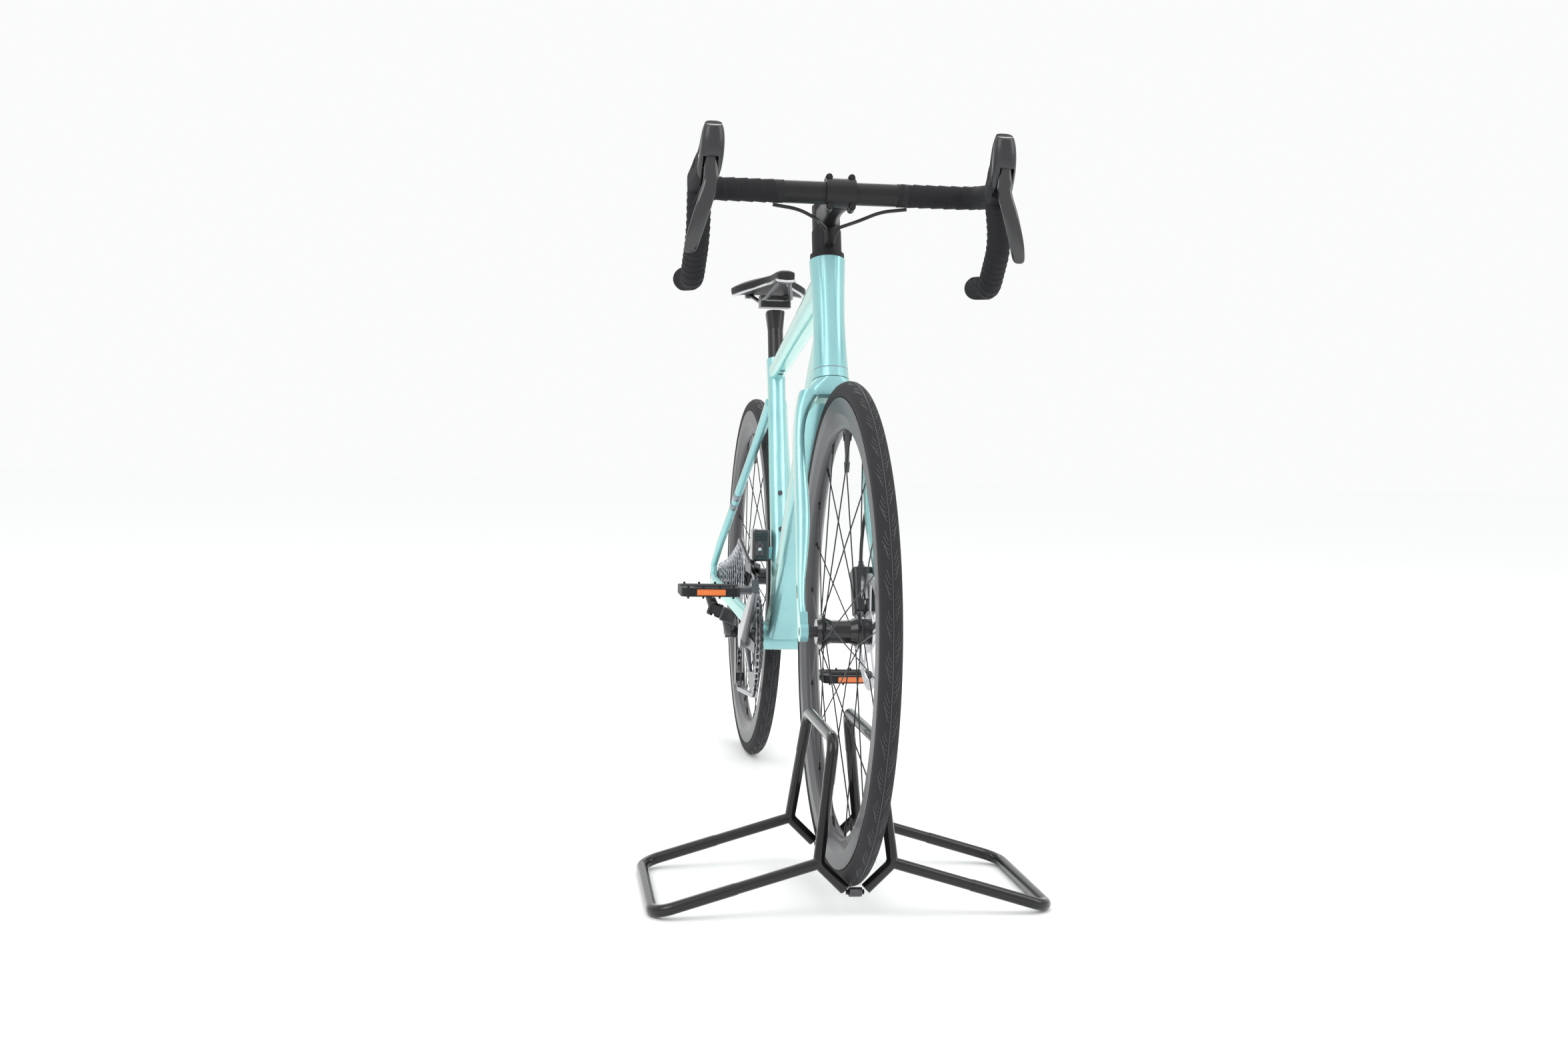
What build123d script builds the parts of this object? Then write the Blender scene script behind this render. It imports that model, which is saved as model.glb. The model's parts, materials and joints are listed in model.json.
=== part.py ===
from build123d import *
from math import asin, atan2, cos, degrees, hypot, pi, radians, sin, sqrt, tan
import os

os.makedirs("parts", exist_ok=True)

# A road bicycle with disc brakes and electronic gears, its front wheel in a folding tube stand.
# Millimetres. +Z is up, -Y is forwards, -X is the bicycle's right, where the chain runs.
# The origin is on the floor, midway between the two axles.
# The bicycle is drawn level and then tipped, because the stand lifts its front wheel.

# Overall sizes
wheelbase = 1011.0
wheel_radius = 340.0
front_lift = 16.4
chainstay = 412.0
bracket_drop = 71.0
head_angle = 73.4
seat_angle = 74.0
fork_offset = 44.0

# Main frame
head_tube_from = 374.0      # along the steering line, from beside the front axle
head_tube_length = 183.0
head_end_radius = 26.5
head_waist_radius = 23.0
seat_tube_length = 492.0
seat_tube_width = 30.0
seat_tube_depth = 38.0
top_tube_width = 40.0
top_tube_height = 42.0
down_tube_width = 54.0
down_tube_height = 60.0
frame_wall = 2.5
shell_width = 68.0
shell_radius = 24.0
stay_width = 15.0
stay_depth = 17.0
front_hub_width = 100.0
rear_hub_width = 142.0
dropout_thickness = 11.0
boss_spacing = 64.0
boss_first = 181.5          # lower seat tube boss, from the crank axis
boss_bore = 2.5
boss_depth = 14.0

# Steering
steerer_radius = 14.3
upper_bearing_radius = 20.5
lower_bearing_radius = 23.0
bearing_height = 7.0
running_gap = 0.05          # radial, in every bearing
spacer_radius = 21.5
spacer_height = 9.0
spacer_count = 4
cover_height = 10.0
stem_length = 120.0
stem_drop = 6.0             # degrees below square to the steerer
stem_clamp_height = 40.0
stem_radius = 17.0
bar_clamp_radius = 15.9
bar_clamp_half = 21.0

# Handlebar
bar_half_width = 205.0
bar_reach = 80.0
bar_drop = 127.0
bar_flare = 7.0
bar_tube_radius = 12.0
bar_bare_half = 81.0
tape_radius = 16.0

# Wheels
tyre_radius = 14.0
tyre_wall = 2.6
rim_depth = 44.0
rim_half_width = 13.4
rim_wall = 1.6
spoke_count = 24
spoke_radius = 0.9
nipple_radius = 2.0
nipple_length = 13.0
flange_radius = 24.0
axle_radius = 6.0
sleeve_radius = 7.5
rotor_radius = 80.0
rotor_thickness = 1.8
rotor_seat = 17.4
front_rotor_x = 36.0
front_flange_left = 20.0
front_flange_right = -30.0
rear_rotor_x = 56.0
rear_flange_left = 36.0
rear_flange_right = -14.0

# Brakes
pad_gap = 0.4
pad_thickness = 4.0
piston_radius = 10.0
piston_length = 7.0
caliper_wall = 3.0
hose_radius = 2.5

# Transmission
pitch = 12.7
ring_teeth = 50
inner_ring_teeth = 34
ring_x = -47.6
ring_spacing = 7.4
cog_teeth = (34, 30, 27, 24, 21, 19, 17, 15, 14, 13, 12, 11)
cog_x = -26.0
cog_spacing = 3.6
cog_thickness = 1.7
pulley_teeth = 11
crank_length = 172.5
crank_angle = 31.0          # right crank above the horizontal, pointing forwards
crank_inner_x = 57.0
crank_thickness = 15.0
spindle_radius = 12.0
cup_width = 11.0
cup_radius = 21.0
chain_width = 5.6
chain_height = 4.0
chain_gap = 0.6
pedal_width = 94.0
pedal_length = 92.0
pedal_height = 20.0
pedal_start = 93.0
pin_radius = 1.8
pin_height = 3.5

# Saddle
post_radius = 13.6
post_insert = 150.0
saddle_height = 604.0       # rail clamp above the crank axis, along the seat tube
saddle_length = 268.0
saddle_width = 141.0
nose_width = 31.0
rail_radius = 3.5
rail_spacing = 44.0

# Stand
stand_tube = 7.5
stand_sleeve = 8.0
stand_length = 263.0
stand_foot_x = 261.5
stand_joint_x = 48.9
stand_joint_z = 71.0
stand_top_z = 228.5
stand_top_length = 218.0
stand_spoke_gap = 0.6
stand_end_x = 13.8
stand_end_z = 36.9
spring_radius = 6.3
spring_bore = 4.0
spring_wire = 2.6

# Places worked out from the sizes above
rear_y = wheelbase / 2
tip_angle = degrees(asin(front_lift / wheelbase))
rear_axle = Vector(0, rear_y, wheel_radius)
front_axle = Vector(0, -rear_y, wheel_radius)
centre_shift = wheelbase * (1 - cos(radians(tip_angle))) / 2
bracket_z = wheel_radius - bracket_drop
bracket_y = rear_y - sqrt(chainstay ** 2 - bracket_drop ** 2)
bracket = Vector(0, bracket_y, bracket_z)
across = Vector(1, 0, 0)
up = Vector(0, 0, 1)
seat_line = Vector(0, cos(radians(seat_angle)), sin(radians(seat_angle)))
steer_line = Vector(0, cos(radians(head_angle)), sin(radians(head_angle)))
steer_forward = Vector(0, -sin(radians(head_angle)), cos(radians(head_angle)))
steer_foot = front_axle - steer_forward * fork_offset
head_tube_to = head_tube_from + head_tube_length
stack_top = head_tube_to + cover_height + spacer_height * spacer_count
stem_centre = stack_top + stem_clamp_height / 2
steerer_top = stack_top + stem_clamp_height - 2.0

bike_place = (
    Location((0, rear_y - centre_shift, wheel_radius))
    * Location((0, 0, 0), (-tip_angle, 0, 0))
    * Location((0, -rear_y, -wheel_radius))
)


def on_steerer(along, forward=0.0, x=0.0):
    return steer_foot + steer_line * along + steer_forward * forward + across * x


def on_seat_tube(along, forward=0.0, x=0.0):
    ahead = Vector(0, -seat_line.Z, seat_line.Y)
    return bracket + seat_line * along + ahead * forward + across * x


stem_way = steer_forward * cos(radians(stem_drop)) - steer_line * sin(radians(stem_drop))
bar_centre = on_steerer(stem_centre) + stem_way * stem_length


def save(name, shapes, place=bike_place):
    """Write one sub-part as a group of its separate solids."""
    group = shapes if isinstance(shapes, list) else [shapes]
    solids = [solid.moved(place) for shape in group for solid in shape.solids()]
    export_step(Compound(solids) if len(solids) > 1 else solids[0], f"parts/{name}.step")


def rod(start, end, radius, end_radius=None):
    """A cylinder, or a cone, between two points."""
    plane = Plane(origin=start, z_dir=end - start)
    length = (end - start).length
    if end_radius is None:
        return Solid.make_cylinder(radius, length, plane)
    return Solid.make_cone(radius, end_radius, length, plane)


def ring(centre, axis, outer, inner, width):
    """A washer or sleeve, centred on a point."""
    half = axis.normalized() * (width / 2)
    return rod(centre - half, centre + half, outer) - rod(centre - half * 1.01, centre + half * 1.01, inner)


def turned(points, centre, x_dir=across, z_dir=up):
    """A body of revolution about x_dir: its points are (along, radius)."""
    plane = Plane(origin=centre, x_dir=x_dir, z_dir=z_dir)
    outline = make_face(plane * Polyline(*[(a, r) for a, r in points], close=True))
    return revolve(outline, Axis(centre, x_dir), 360)


def box_at(centre, size_x, size_y, size_z, x_dir=across, z_dir=up, fillet_by=0.0):
    """A block in its own axes, with all its edges rounded if asked."""
    block = Box(size_x, size_y, size_z)
    if fillet_by > 0:
        block = fillet(block.edges(), fillet_by)
    return Plane(origin=centre, x_dir=x_dir, z_dir=z_dir) * block


def blended(stations, ruled=False):
    """A smooth tube through (centre, direction, width across X, depth, corner) stations."""
    faces = []
    for centre, way, width, depth, corner in stations:
        plane = Plane(origin=centre, x_dir=across, z_dir=way)
        limit = min(width, depth) / 2 * 0.98
        faces.append(plane * RectangleRounded(width, depth, min(corner, limit)))
    return loft([face.face() for face in faces], ruled=ruled)


def bent_tube(points, radius, bends, bore=0.0):
    """A round tube along straight runs joined by arcs, one bend radius for each inner point."""
    path = FilletPolyline(*points, radius=bends) if len(points) > 2 else Line(*points)
    begin = Plane(origin=path @ 0, z_dir=path % 0)
    tube = sweep(begin * Circle(radius), path=path)
    if bore > 0:
        tube -= sweep(begin * Circle(bore), path=path)
    return tube


def mirrored(shape):
    return mirror(shape, Plane.YZ)


def bend_radii(points, share=0.45):
    """The largest arc that each corner of a hose leaves room for."""
    radii = []
    for before, at, after in zip(points, points[1:], points[2:]):
        turn = radians((at - before).get_angle(after - at))
        radii.append(share * min((at - before).length, (after - at).length) / tan(turn / 2))
    return radii


# ---- Stand ----

stand_y = -rear_y
stand_half = stand_length / 2
top_half = stand_top_length / 2
wide_flange = max(front_flange_left, -front_flange_right) + 2.3
spoke_run = (wheel_radius + front_lift - stand_top_z - stand_sleeve - flange_radius) / (wheel_radius - 90)
stand_top_x = wide_flange * (1 - spoke_run) + stand_spoke_gap + stand_sleeve
on_floor = Location((0, 0, 0))


def stand_point(x, along, z):
    return Vector(x, stand_y + along, z)


def stand_side():
    """One welded half: a foot loop and an upright whose legs run on to the springs."""
    foot = [
        stand_point(stand_joint_x, -stand_half, stand_joint_z),
        stand_point(stand_foot_x, -stand_half, stand_sleeve),
        stand_point(stand_foot_x, stand_half, stand_sleeve),
        stand_point(stand_joint_x, stand_half, stand_joint_z),
    ]
    upright = [
        stand_point(stand_end_x, -stand_half, stand_end_z),
        stand_point(stand_joint_x, -stand_half, stand_joint_z),
        stand_point(stand_top_x, -top_half, stand_top_z),
        stand_point(stand_top_x, top_half, stand_top_z),
        stand_point(stand_joint_x, stand_half, stand_joint_z),
        stand_point(stand_end_x, stand_half, stand_end_z),
    ]
    frame_tube = bent_tube(foot, stand_tube, [26, 26])
    frame_tube += bent_tube(upright, stand_tube, [14, 24, 24, 14])
    arm = foot[0] - foot[1]
    sleeve_path = [foot[1] + arm * 0.5, foot[1], foot[2], foot[2] + arm * 0.5]
    sleeve_path[3] = Vector(sleeve_path[0].X, 2 * stand_y - sleeve_path[0].Y, sleeve_path[0].Z)
    foot_sleeve = bent_tube(sleeve_path, stand_sleeve, [26, 26], stand_tube)
    leg = upright[1] - upright[2]
    low = upright[2] + leg * 0.36
    top_path = [low, upright[2], upright[3], Vector(low.X, 2 * stand_y - low.Y, low.Z)]
    top_sleeve = bent_tube(top_path, stand_sleeve, [24, 24], stand_tube)
    return [frame_tube, foot_sleeve, top_sleeve]


def stand_spring(along):
    """A close-wound coil between the two halves, as a ribbed sleeve."""
    half = stand_end_x - stand_tube * 0.72 - 0.4
    turns = int(2 * half / spring_wire)
    step = 2 * half / turns
    outline = [(-half, spring_bore)]
    for turn in range(turns):
        left = -half + turn * step
        outline += [(left, spring_radius - 1.0), (left + step / 2, spring_radius)]
    outline += [(half, spring_radius - 1.0), (half, spring_bore)]
    return turned(outline, stand_point(0, along, stand_end_z - 4.0))


left_stand = stand_side()
save("stand_left", left_stand, on_floor)
save("stand_right", [mirrored(piece) for piece in left_stand], on_floor)
save("stand_springs", [stand_spring(-stand_half), stand_spring(stand_half)], on_floor)

# ---- Wheels ----

bead_angle = radians(42)
tyre_centre = wheel_radius - tyre_radius
rim_top = tyre_centre - 8.0
rim_bottom = rim_top - rim_depth
rim_bed = rim_top - 6.5


def arc_points(centre_r, radius, start, end, count):
    """Points of a section's arc, as (along X, distance from the axle)."""
    steps = [start + (end - start) * i / (count - 1) for i in range(count)]
    return [(radius * sin(a), centre_r - radius * cos(a)) for a in steps]


def tyre(centre):
    outer = arc_points(tyre_centre, tyre_radius, bead_angle, 2 * pi - bead_angle, 33)
    inner = arc_points(tyre_centre, tyre_radius - tyre_wall, 2 * pi - bead_angle, bead_angle, 25)
    return turned(outer + inner, centre)


def rim(centre):
    """A deep hollow rim with two flanges that hold the tyre."""
    nose = arc_points(rim_bottom + 9.0, 9.0, -1.25, 1.25, 9)
    side = rim_half_width
    outline = nose + [
        (side, rim_top - 22),
        (side, rim_top - 4),
        (side - 0.4, rim_top),
        (side - rim_wall, rim_top),
        (side - rim_wall, rim_bed),
        (-side + rim_wall, rim_bed),
        (-side + rim_wall, rim_top),
        (-side + 0.4, rim_top),
        (-side, rim_top - 4),
        (-side, rim_top - 22),
    ]
    wall = rim_wall
    cavity = arc_points(rim_bottom + 9.0, 9.0 - wall * 1.5, -1.25, 1.25, 9) + [
        (side - wall, rim_top - 22),
        (side - wall, rim_bed - wall),
        (-side + wall, rim_bed - wall),
        (-side + wall, rim_top - 22),
    ]
    return turned(outline, centre) - turned(cavity, centre)


def valve(centre, x=0.0):
    """A threaded valve stem with its nut, standing in from the rim at the wheel's top."""
    top = centre + up * (rim_bed - rim_wall - 1.0) + across * x
    stem = rod(top, top - up * 78, 3.0)
    cap = rod(top - up * 78, top - up * 92, 4.2, 3.2)
    nut = rod(centre + up * (rim_bottom - 0.2), centre + up * (rim_bottom - 5), 5.0)
    return stem + cap + nut


def spokes(centre, flange_left, flange_right):
    """Laced two-cross: each flange has half of the spokes, leading and trailing by turns."""
    laced = []
    for k in range(spoke_count):
        angle = 2 * pi * (k + 0.5) / spoke_count
        left = k % 2 == 0
        lead = 1 if (k // 2) % 2 == 0 else -1
        flange_x = flange_left if left else flange_right
        hub_angle = angle + lead * radians(62)
        hub_radius = flange_radius - 3.5
        hub = centre + Vector(
            flange_x + lead * 1.4, hub_radius * sin(hub_angle), hub_radius * cos(hub_angle)
        )
        seat = rim_bottom + 1.0
        nipple_x = 1.5 if left else -1.5
        end = centre + Vector(nipple_x, seat * sin(angle), seat * cos(angle))
        way = (end - hub).normalized()
        laced.append(rod(hub, end, spoke_radius) + rod(end - way * nipple_length, end, nipple_radius))
    return laced


def hub_shell(centre, half, flange_left, flange_right, rotor_x, barrel=11.0):
    """A flanged shell on two bearings, bored for the axle sleeve."""
    bore = 14.0
    end_left = max(rotor_x + 3, flange_left + 4)
    end_right = flange_right - 8
    shell = turned(
        [
            (end_right, bore),
            (end_right, 17),
            (flange_right - 2.5, 19),
            (flange_right - 2.5, flange_radius),
            (flange_right + 2.5, flange_radius),
            (flange_right + 3, 20),
            (flange_right + 12, bore + 2),
            (flange_left - 12, bore + 2),
            (flange_left - 3, 20),
            (flange_left - 2.5, flange_radius),
            (flange_left + 2.5, flange_radius),
            (flange_left + 3.5, rotor_seat),
            (end_left, rotor_seat),
            (end_left, bore),
        ],
        centre,
    )
    bearings = [
        ring(centre + across * (x), across, bore, sleeve_radius + running_gap, 7)
        for x in (end_left - 3.6, end_right + 3.6)
    ]
    return [shell] + bearings


def axle_group(centre, half, head_x, tail_x):
    """The thru-axle and the sleeve that it clamps between the dropouts."""
    sleeve = turned(
        [
            (-half, axle_radius),
            (-half, 9.5),
            (-half + 5, 9.5),
            (-half + 5, sleeve_radius),
            (half - 5, sleeve_radius),
            (half - 5, 9.5),
            (half, 9.5),
            (half, axle_radius),
        ],
        centre,
    )
    shaft = rod(centre + across * tail_x, centre + across * head_x, axle_radius)
    return [sleeve, shaft]


def rotor(centre, x, hub_outer=rotor_seat):
    """A brake disc: a drilled track on a five-armed carrier with its lock ring."""
    plane = Plane(origin=centre + across * (x - rotor_thickness / 2), x_dir=(0, 1, 0), z_dir=across)
    track = Circle(rotor_radius) - Circle(rotor_radius - 15)
    for k in range(30):
        spot_r = rotor_radius - 4 - 3.6 * (k % 3)
        track -= Rot(0, 0, k * 12) * Pos(spot_r, 0) * Circle(1.9)
    carrier = Circle(29) - Circle(hub_outer)
    for k in range(5):
        carrier += Rot(0, 0, k * 72 + 18) * Pos(47, 0) * Rectangle(40, 9)
    disc = extrude((plane * (track + carrier)), rotor_thickness)
    lock = ring(centre + across * (x + 3.0), across, 22, hub_outer, 3.8)
    return [disc, lock]


def wheel(name, centre, half, flange_left, flange_right, rotor_x):
    save(f"{name}_tyre", tyre(centre))
    save(f"{name}_rim", [rim(centre), valve(centre)])
    save(f"{name}_spokes", spokes(centre, flange_left, flange_right))
    save(f"{name}_hub", hub_shell(centre, half, flange_left, flange_right, rotor_x))
    save(f"{name}_rotor", rotor(centre, rotor_x))


wheel("front", front_axle, front_hub_width / 2, front_flange_left, front_flange_right, front_rotor_x)
wheel("rear", rear_axle, rear_hub_width / 2, rear_flange_left, rear_flange_right, rear_rotor_x)
front_out = front_hub_width / 2 + dropout_thickness
rear_out = rear_hub_width / 2 + dropout_thickness
save("front_axle", axle_group(front_axle, front_hub_width / 2, front_out - 1, -front_out + 1))
save("rear_axle", axle_group(rear_axle, rear_hub_width / 2, rear_out - 1, -rear_out + 1))

# ---- Brakes ----

cavity_half = rotor_thickness / 2 + pad_gap + pad_thickness + 0.3


def caliper(axle, leg, rotor_x, along, away):
    """Body, left pad and right pad of a brake that stands on a frame member.

    leg is the member's direction, seen from the axle; along and away place the pads on it.
    """
    frame_axes = Plane(origin=axle + across * rotor_x, x_dir=across, z_dir=leg)
    outer_half = cavity_half + piston_length + caliper_wall
    body = Box(2 * outer_half, 30, 66)
    body = fillet(body.edges().filter_by(Axis.Z), 7)
    body = fillet(body.faces().sort_by(Axis.Z)[0].edges(), 3)
    body = fillet(body.faces().sort_by(Axis.Z)[-1].edges(), 3)
    body = Pos(0, away, along) * body
    slot = Pos(0, away - 2, along) * Box(2 * cavity_half, 52, 38)
    disc_room = Pos(0, away, along - 13) * Box(rotor_thickness + 2 * pad_gap, 70, 54.5)
    reach = outer_half - caliper_wall
    bores = Pos(0, away, along) * Rot(0, 90, 0) * Cylinder(piston_radius + running_gap, 2 * reach)
    body = body - slot - disc_room - bores
    banjo = Pos(0, away + 3, along + 33) * (Cylinder(5, 14) + Pos(0, 0, 7) * Cylinder(3.6, 12))
    body += banjo
    pads = []
    for side in (1, -1):
        face = rotor_thickness / 2 + pad_gap
        pad = Pos(side * (face + pad_thickness / 2), away, along) * Box(pad_thickness, 19, 26)
        fin = Pos(side * (face + pad_thickness - 0.8), away + 12, along) * Box(1.6, 12, 14)
        length = piston_length - 0.8
        start = face + pad_thickness + length / 2
        piston = Pos(side * start, away, along) * Rot(0, 90, 0) * Cylinder(piston_radius, length)
        pads.append([frame_axes * (pad + fin), frame_axes * piston])
    return frame_axes * body, pads[0], pads[1]


front_leg_top = on_steerer(head_tube_from - 36.0)
front_leg = (front_leg_top - front_axle).normalized()
front_body, front_left_pad, front_right_pad = caliper(front_axle, front_leg, front_rotor_x, 68, 29)
save("front_caliper", front_body)
save("front_pad_left", front_left_pad)
save("front_pad_right", front_right_pad)

chainstay_way = (bracket - rear_axle).normalized()
rear_leg = Vector(0, chainstay_way.Y, chainstay_way.Z)
rear_body, rear_left_pad, rear_right_pad = caliper(rear_axle, rear_leg, rear_rotor_x, 66, 28)
save("rear_caliper", rear_body)
save("rear_pad_left", rear_left_pad)
save("rear_pad_right", rear_right_pad)

# ---- Fork ----

crown_top = head_tube_from - 1.0
leg_x_low = front_hub_width / 2 + dropout_thickness / 2


def fork_leg(side):
    """One blade, from the crown's shoulder down to the dropout."""
    low = front_axle + front_leg * 16
    stations = [
        (on_steerer(head_tube_from - 20.0, 0, side * 30.0), steer_line * -1, 34, 42, 14),
        (on_steerer(head_tube_from - 46.0, 0, side * 42.0), front_leg * -1, 20, 42, 9),
        (front_axle + front_leg * 210 + across * side * 49.5, front_leg * -1, 17.5, 34, 8),
        (front_axle + front_leg * 100 + across * side * 53.5, front_leg * -1, 14, 26, 6.5),
        (low + across * side * leg_x_low, front_leg * -1, dropout_thickness, 22, 5),
    ]
    blade = blended(stations)
    tip_plane = Plane(
        origin=front_axle + across * side * front_hub_width / 2, x_dir=(0, 1, 0), z_dir=across * side
    )
    foot = extrude(tip_plane * Circle(14), dropout_thickness)
    foot += rod(
        front_axle + across * side * (front_hub_width / 2) + front_leg * 2,
        front_axle + across * side * (front_hub_width / 2 + dropout_thickness) + front_leg * 2,
        13,
    )
    web = box_at(
        front_axle + front_leg * 12 + across * side * leg_x_low,
        dropout_thickness,
        22,
        26,
        across,
        front_leg,
    )
    return blade + foot + web


crown = blended(
    [
        (on_steerer(crown_top), steer_line * -1, 2 * head_end_radius - 1, 2 * head_end_radius - 1, 25),
        (on_steerer(head_tube_from - 12.0), steer_line * -1, 66, 48, 20),
        (on_steerer(head_tube_from - 28.0), steer_line * -1, 86, 40, 16),
    ]
)
steerer = rod(on_steerer(crown_top - 12), on_steerer(steerer_top), steerer_radius)
race = rod(on_steerer(crown_top), on_steerer(head_tube_from + 1.2), steerer_radius + 3.4)
tyre_room = Plane(origin=front_axle, x_dir=(0, 1, 0), z_dir=across) * Cylinder(
    wheel_radius + 8, 2 * (tyre_radius + 7)
)
fork = crown + fork_leg(1) + fork_leg(-1) - tyre_room + steerer + race
fork -= rod(front_axle - across * 90, front_axle + across * 90, axle_radius)
save("fork", fork)

# ---- Head: bearings, cover, spacers, stem ----

lower_bearing_at = head_tube_from + 2.0 + bearing_height / 2
upper_bearing_at = head_tube_to - 2.0 - bearing_height / 2
bearings = [
    ring(
        on_steerer(lower_bearing_at),
        steer_line,
        lower_bearing_radius,
        steerer_radius + running_gap,
        bearing_height,
    ),
    ring(
        on_steerer(upper_bearing_at),
        steer_line,
        upper_bearing_radius,
        steerer_radius + running_gap,
        bearing_height,
    ),
]

stack = []
level = head_tube_to + 0.5
cover_base = ring(
    on_steerer(level + cover_height / 2 - 0.5),
    steer_line,
    head_end_radius - 1.5,
    steerer_radius,
    cover_height - 1,
)
stack.append(cover_base)
level = head_tube_to + cover_height
for k in range(spacer_count):
    spacer = ring(
        on_steerer(level + spacer_height / 2), steer_line, spacer_radius, steerer_radius, spacer_height
    )
    stack.append(spacer)
    level += spacer_height
save("headset_spacers", stack)

clamp = ring(on_steerer(stem_centre), steer_line, stem_radius + 3.5, steerer_radius, stem_clamp_height)
arm_start = on_steerer(stem_centre) + stem_way * (steerer_radius + 1)
arm_end = bar_centre - stem_way * (bar_clamp_radius + 1.0)
arm_up = Vector(0, -stem_way.Z, stem_way.Y) * -1
arm = blended(
    [
        (arm_start, stem_way, 34, 36, 13),
        (arm_start + (arm_end - arm_start) * 0.5, stem_way, 31, 31, 12),
        (arm_end, stem_way, 2 * bar_clamp_half, 35, 9),
    ]
)
bar_seat = rod(
    bar_centre - across * bar_clamp_half, bar_centre + across * bar_clamp_half, bar_clamp_radius + 5
)
face_cut = bar_centre + stem_way * 1.0
cap_box = box_at(face_cut + stem_way * 20, 60, 60, 40, across, stem_way)
bar_hole = rod(bar_centre - across * 60, bar_centre + across * 60, bar_clamp_radius)
steerer_hole = rod(on_steerer(stack_top - 6), on_steerer(steerer_top + 20), steerer_radius)
stem = (clamp + arm + (bar_seat - cap_box)) - bar_hole - steerer_hole
cap = rod(on_steerer(stack_top + stem_clamp_height), on_steerer(stack_top + stem_clamp_height + 5), 17, 14)
plug = rod(on_steerer(steerer_top), on_steerer(stack_top + stem_clamp_height), steerer_radius - 1)
face_plate = (bar_seat & cap_box) - bar_hole
bolts = []
for x in (-1, 1):
    for level_side in (-1, 1):
        spot = bar_centre + across * x * (bar_clamp_half - 5) + arm_up * level_side * 21
        lug = rod(spot + stem_way * 1.2, spot + stem_way * 8, 5.0)
        face_plate += lug
        bolts.append(rod(spot + stem_way * 8, spot + stem_way * 12, 3.8))
        stem += rod(spot - stem_way * 9, spot + stem_way * 0.8, 5.0)
stem -= bar_hole
save("stem", [stem, cap + plug])
save("stem_faceplate", [face_plate - bar_hole] + bolts)

# ---- Handlebar, tape, hoods, levers ----

forwards = Vector(0, -1, 0)


def at_bar(x, ahead=0.0, rise=0.0):
    return bar_centre + across * x + forwards * ahead + up * rise


def bar_route(side, start):
    """One side of the drop bar, from the top round the hook to its end."""
    wide = bar_half_width
    return [
        at_bar(side * start),
        at_bar(side * (wide - 12), 2, 0),
        at_bar(side * wide, bar_reach - 2, -6),
        at_bar(side * (wide + 2), bar_reach + 16, -74),
        at_bar(side * (wide + 4), bar_reach - 46, -bar_drop - 1),
        at_bar(side * (wide + bar_flare), -56, -bar_drop + 6),
    ]


bar_bends = [30, 34, 44, 36]
middle = rod(at_bar(-bar_bare_half), at_bar(bar_bare_half), bar_clamp_radius)
bar = middle
tapes = []
for side in (1, -1):
    route = bar_route(side, bar_bare_half - 1)
    bar += bent_tube(route, bar_tube_radius, bar_bends)
    taped = [at_bar(side * bar_bare_half)] + route[1:]
    tapes.append(bent_tube(taped, tape_radius, bar_bends, bar_tube_radius))
    end_way = (route[-1] - route[-2]).normalized()
    tapes.append(rod(route[-1], route[-1] + end_way * 5, tape_radius, tape_radius - 3))
save("handlebar", bar)
save("bar_tape", tapes)

hood_toe = 8.0


def hood_point(side, ahead, rise, out=0.0):
    """A place on a hood: ahead of the bar's bend, above the bar's middle, away from its centre."""
    x = bar_half_width - (ahead - bar_reach) * tan(radians(hood_toe)) + out
    return at_bar(side * x, ahead, rise)


lever_pivot_ahead = 141.0
lever_pivot_rise = 8.0
lever_pin_radius = 2.5
lever_pin_half = 12.5
lever_boss_radius = 5.5
lever_boss_half = 7.0


def lever_rod(side, half, radius):
    """A rod along a lever's pivot."""
    pivot = hood_point(side, lever_pivot_ahead, lever_pivot_rise)
    return rod(pivot - across * half, pivot + across * half, radius)


def hood(side):
    way = [Vector(0, -cos(radians(a)), sin(radians(a))) for a in (8, 16, 26, 44, 62)]
    spots = [(86, -4), (104, 3), (124, 12), (142, 26), (151, 44)]
    sizes = [(36, 38, 14), (34, 44, 14), (32, 46, 13), (31, 44, 13), (30, 34, 12)]
    stations = [
        (hood_point(side, a, r), w, sx, sy, c)
        for (a, r), w, (sx, sy, c) in zip(spots, way, sizes)
    ]
    stations.append((hood_point(side, 155, 62), way[4], 22, 22, 9))
    body = blended(stations)
    mouth = box_at(hood_point(side, 146, -4, 2), 20, 60, 46)
    return body - mouth + lever_rod(side, lever_pin_half, lever_pin_radius)


save("lever_hoods", [hood(1), hood(-1)])


def lever(side):
    """A curved blade that hangs from its pivot in the hood."""
    pivot = hood_point(side, lever_pivot_ahead, lever_pivot_rise)
    spots = [(0, 8, 0), (9, -18, 3), (13, -50, 12), (8, -84, 22), (0, -108, 26)]
    sizes = [(11, 10, 4), (12, 11, 4), (15, 9, 4), (14, 8, 3.5), (12, 8, 3.5)]
    ways = [(0, -0.3, -1), (0, -0.25, -1), (0, 0.0, -1), (0, 0.25, -1), (0, 0.4, -1)]
    stations = []
    for (ahead, rise, out), (sx, sy, c), w in zip(spots, sizes, ways):
        spot = pivot + forwards * ahead + up * rise + across * side * out
        stations.append((spot, Vector(*w).normalized(), sx, sy, c))
    blade = blended(stations) + lever_rod(side, lever_boss_half, lever_boss_radius)
    return blade - lever_rod(side, lever_boss_half + 5, lever_pin_radius + running_gap)


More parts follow.
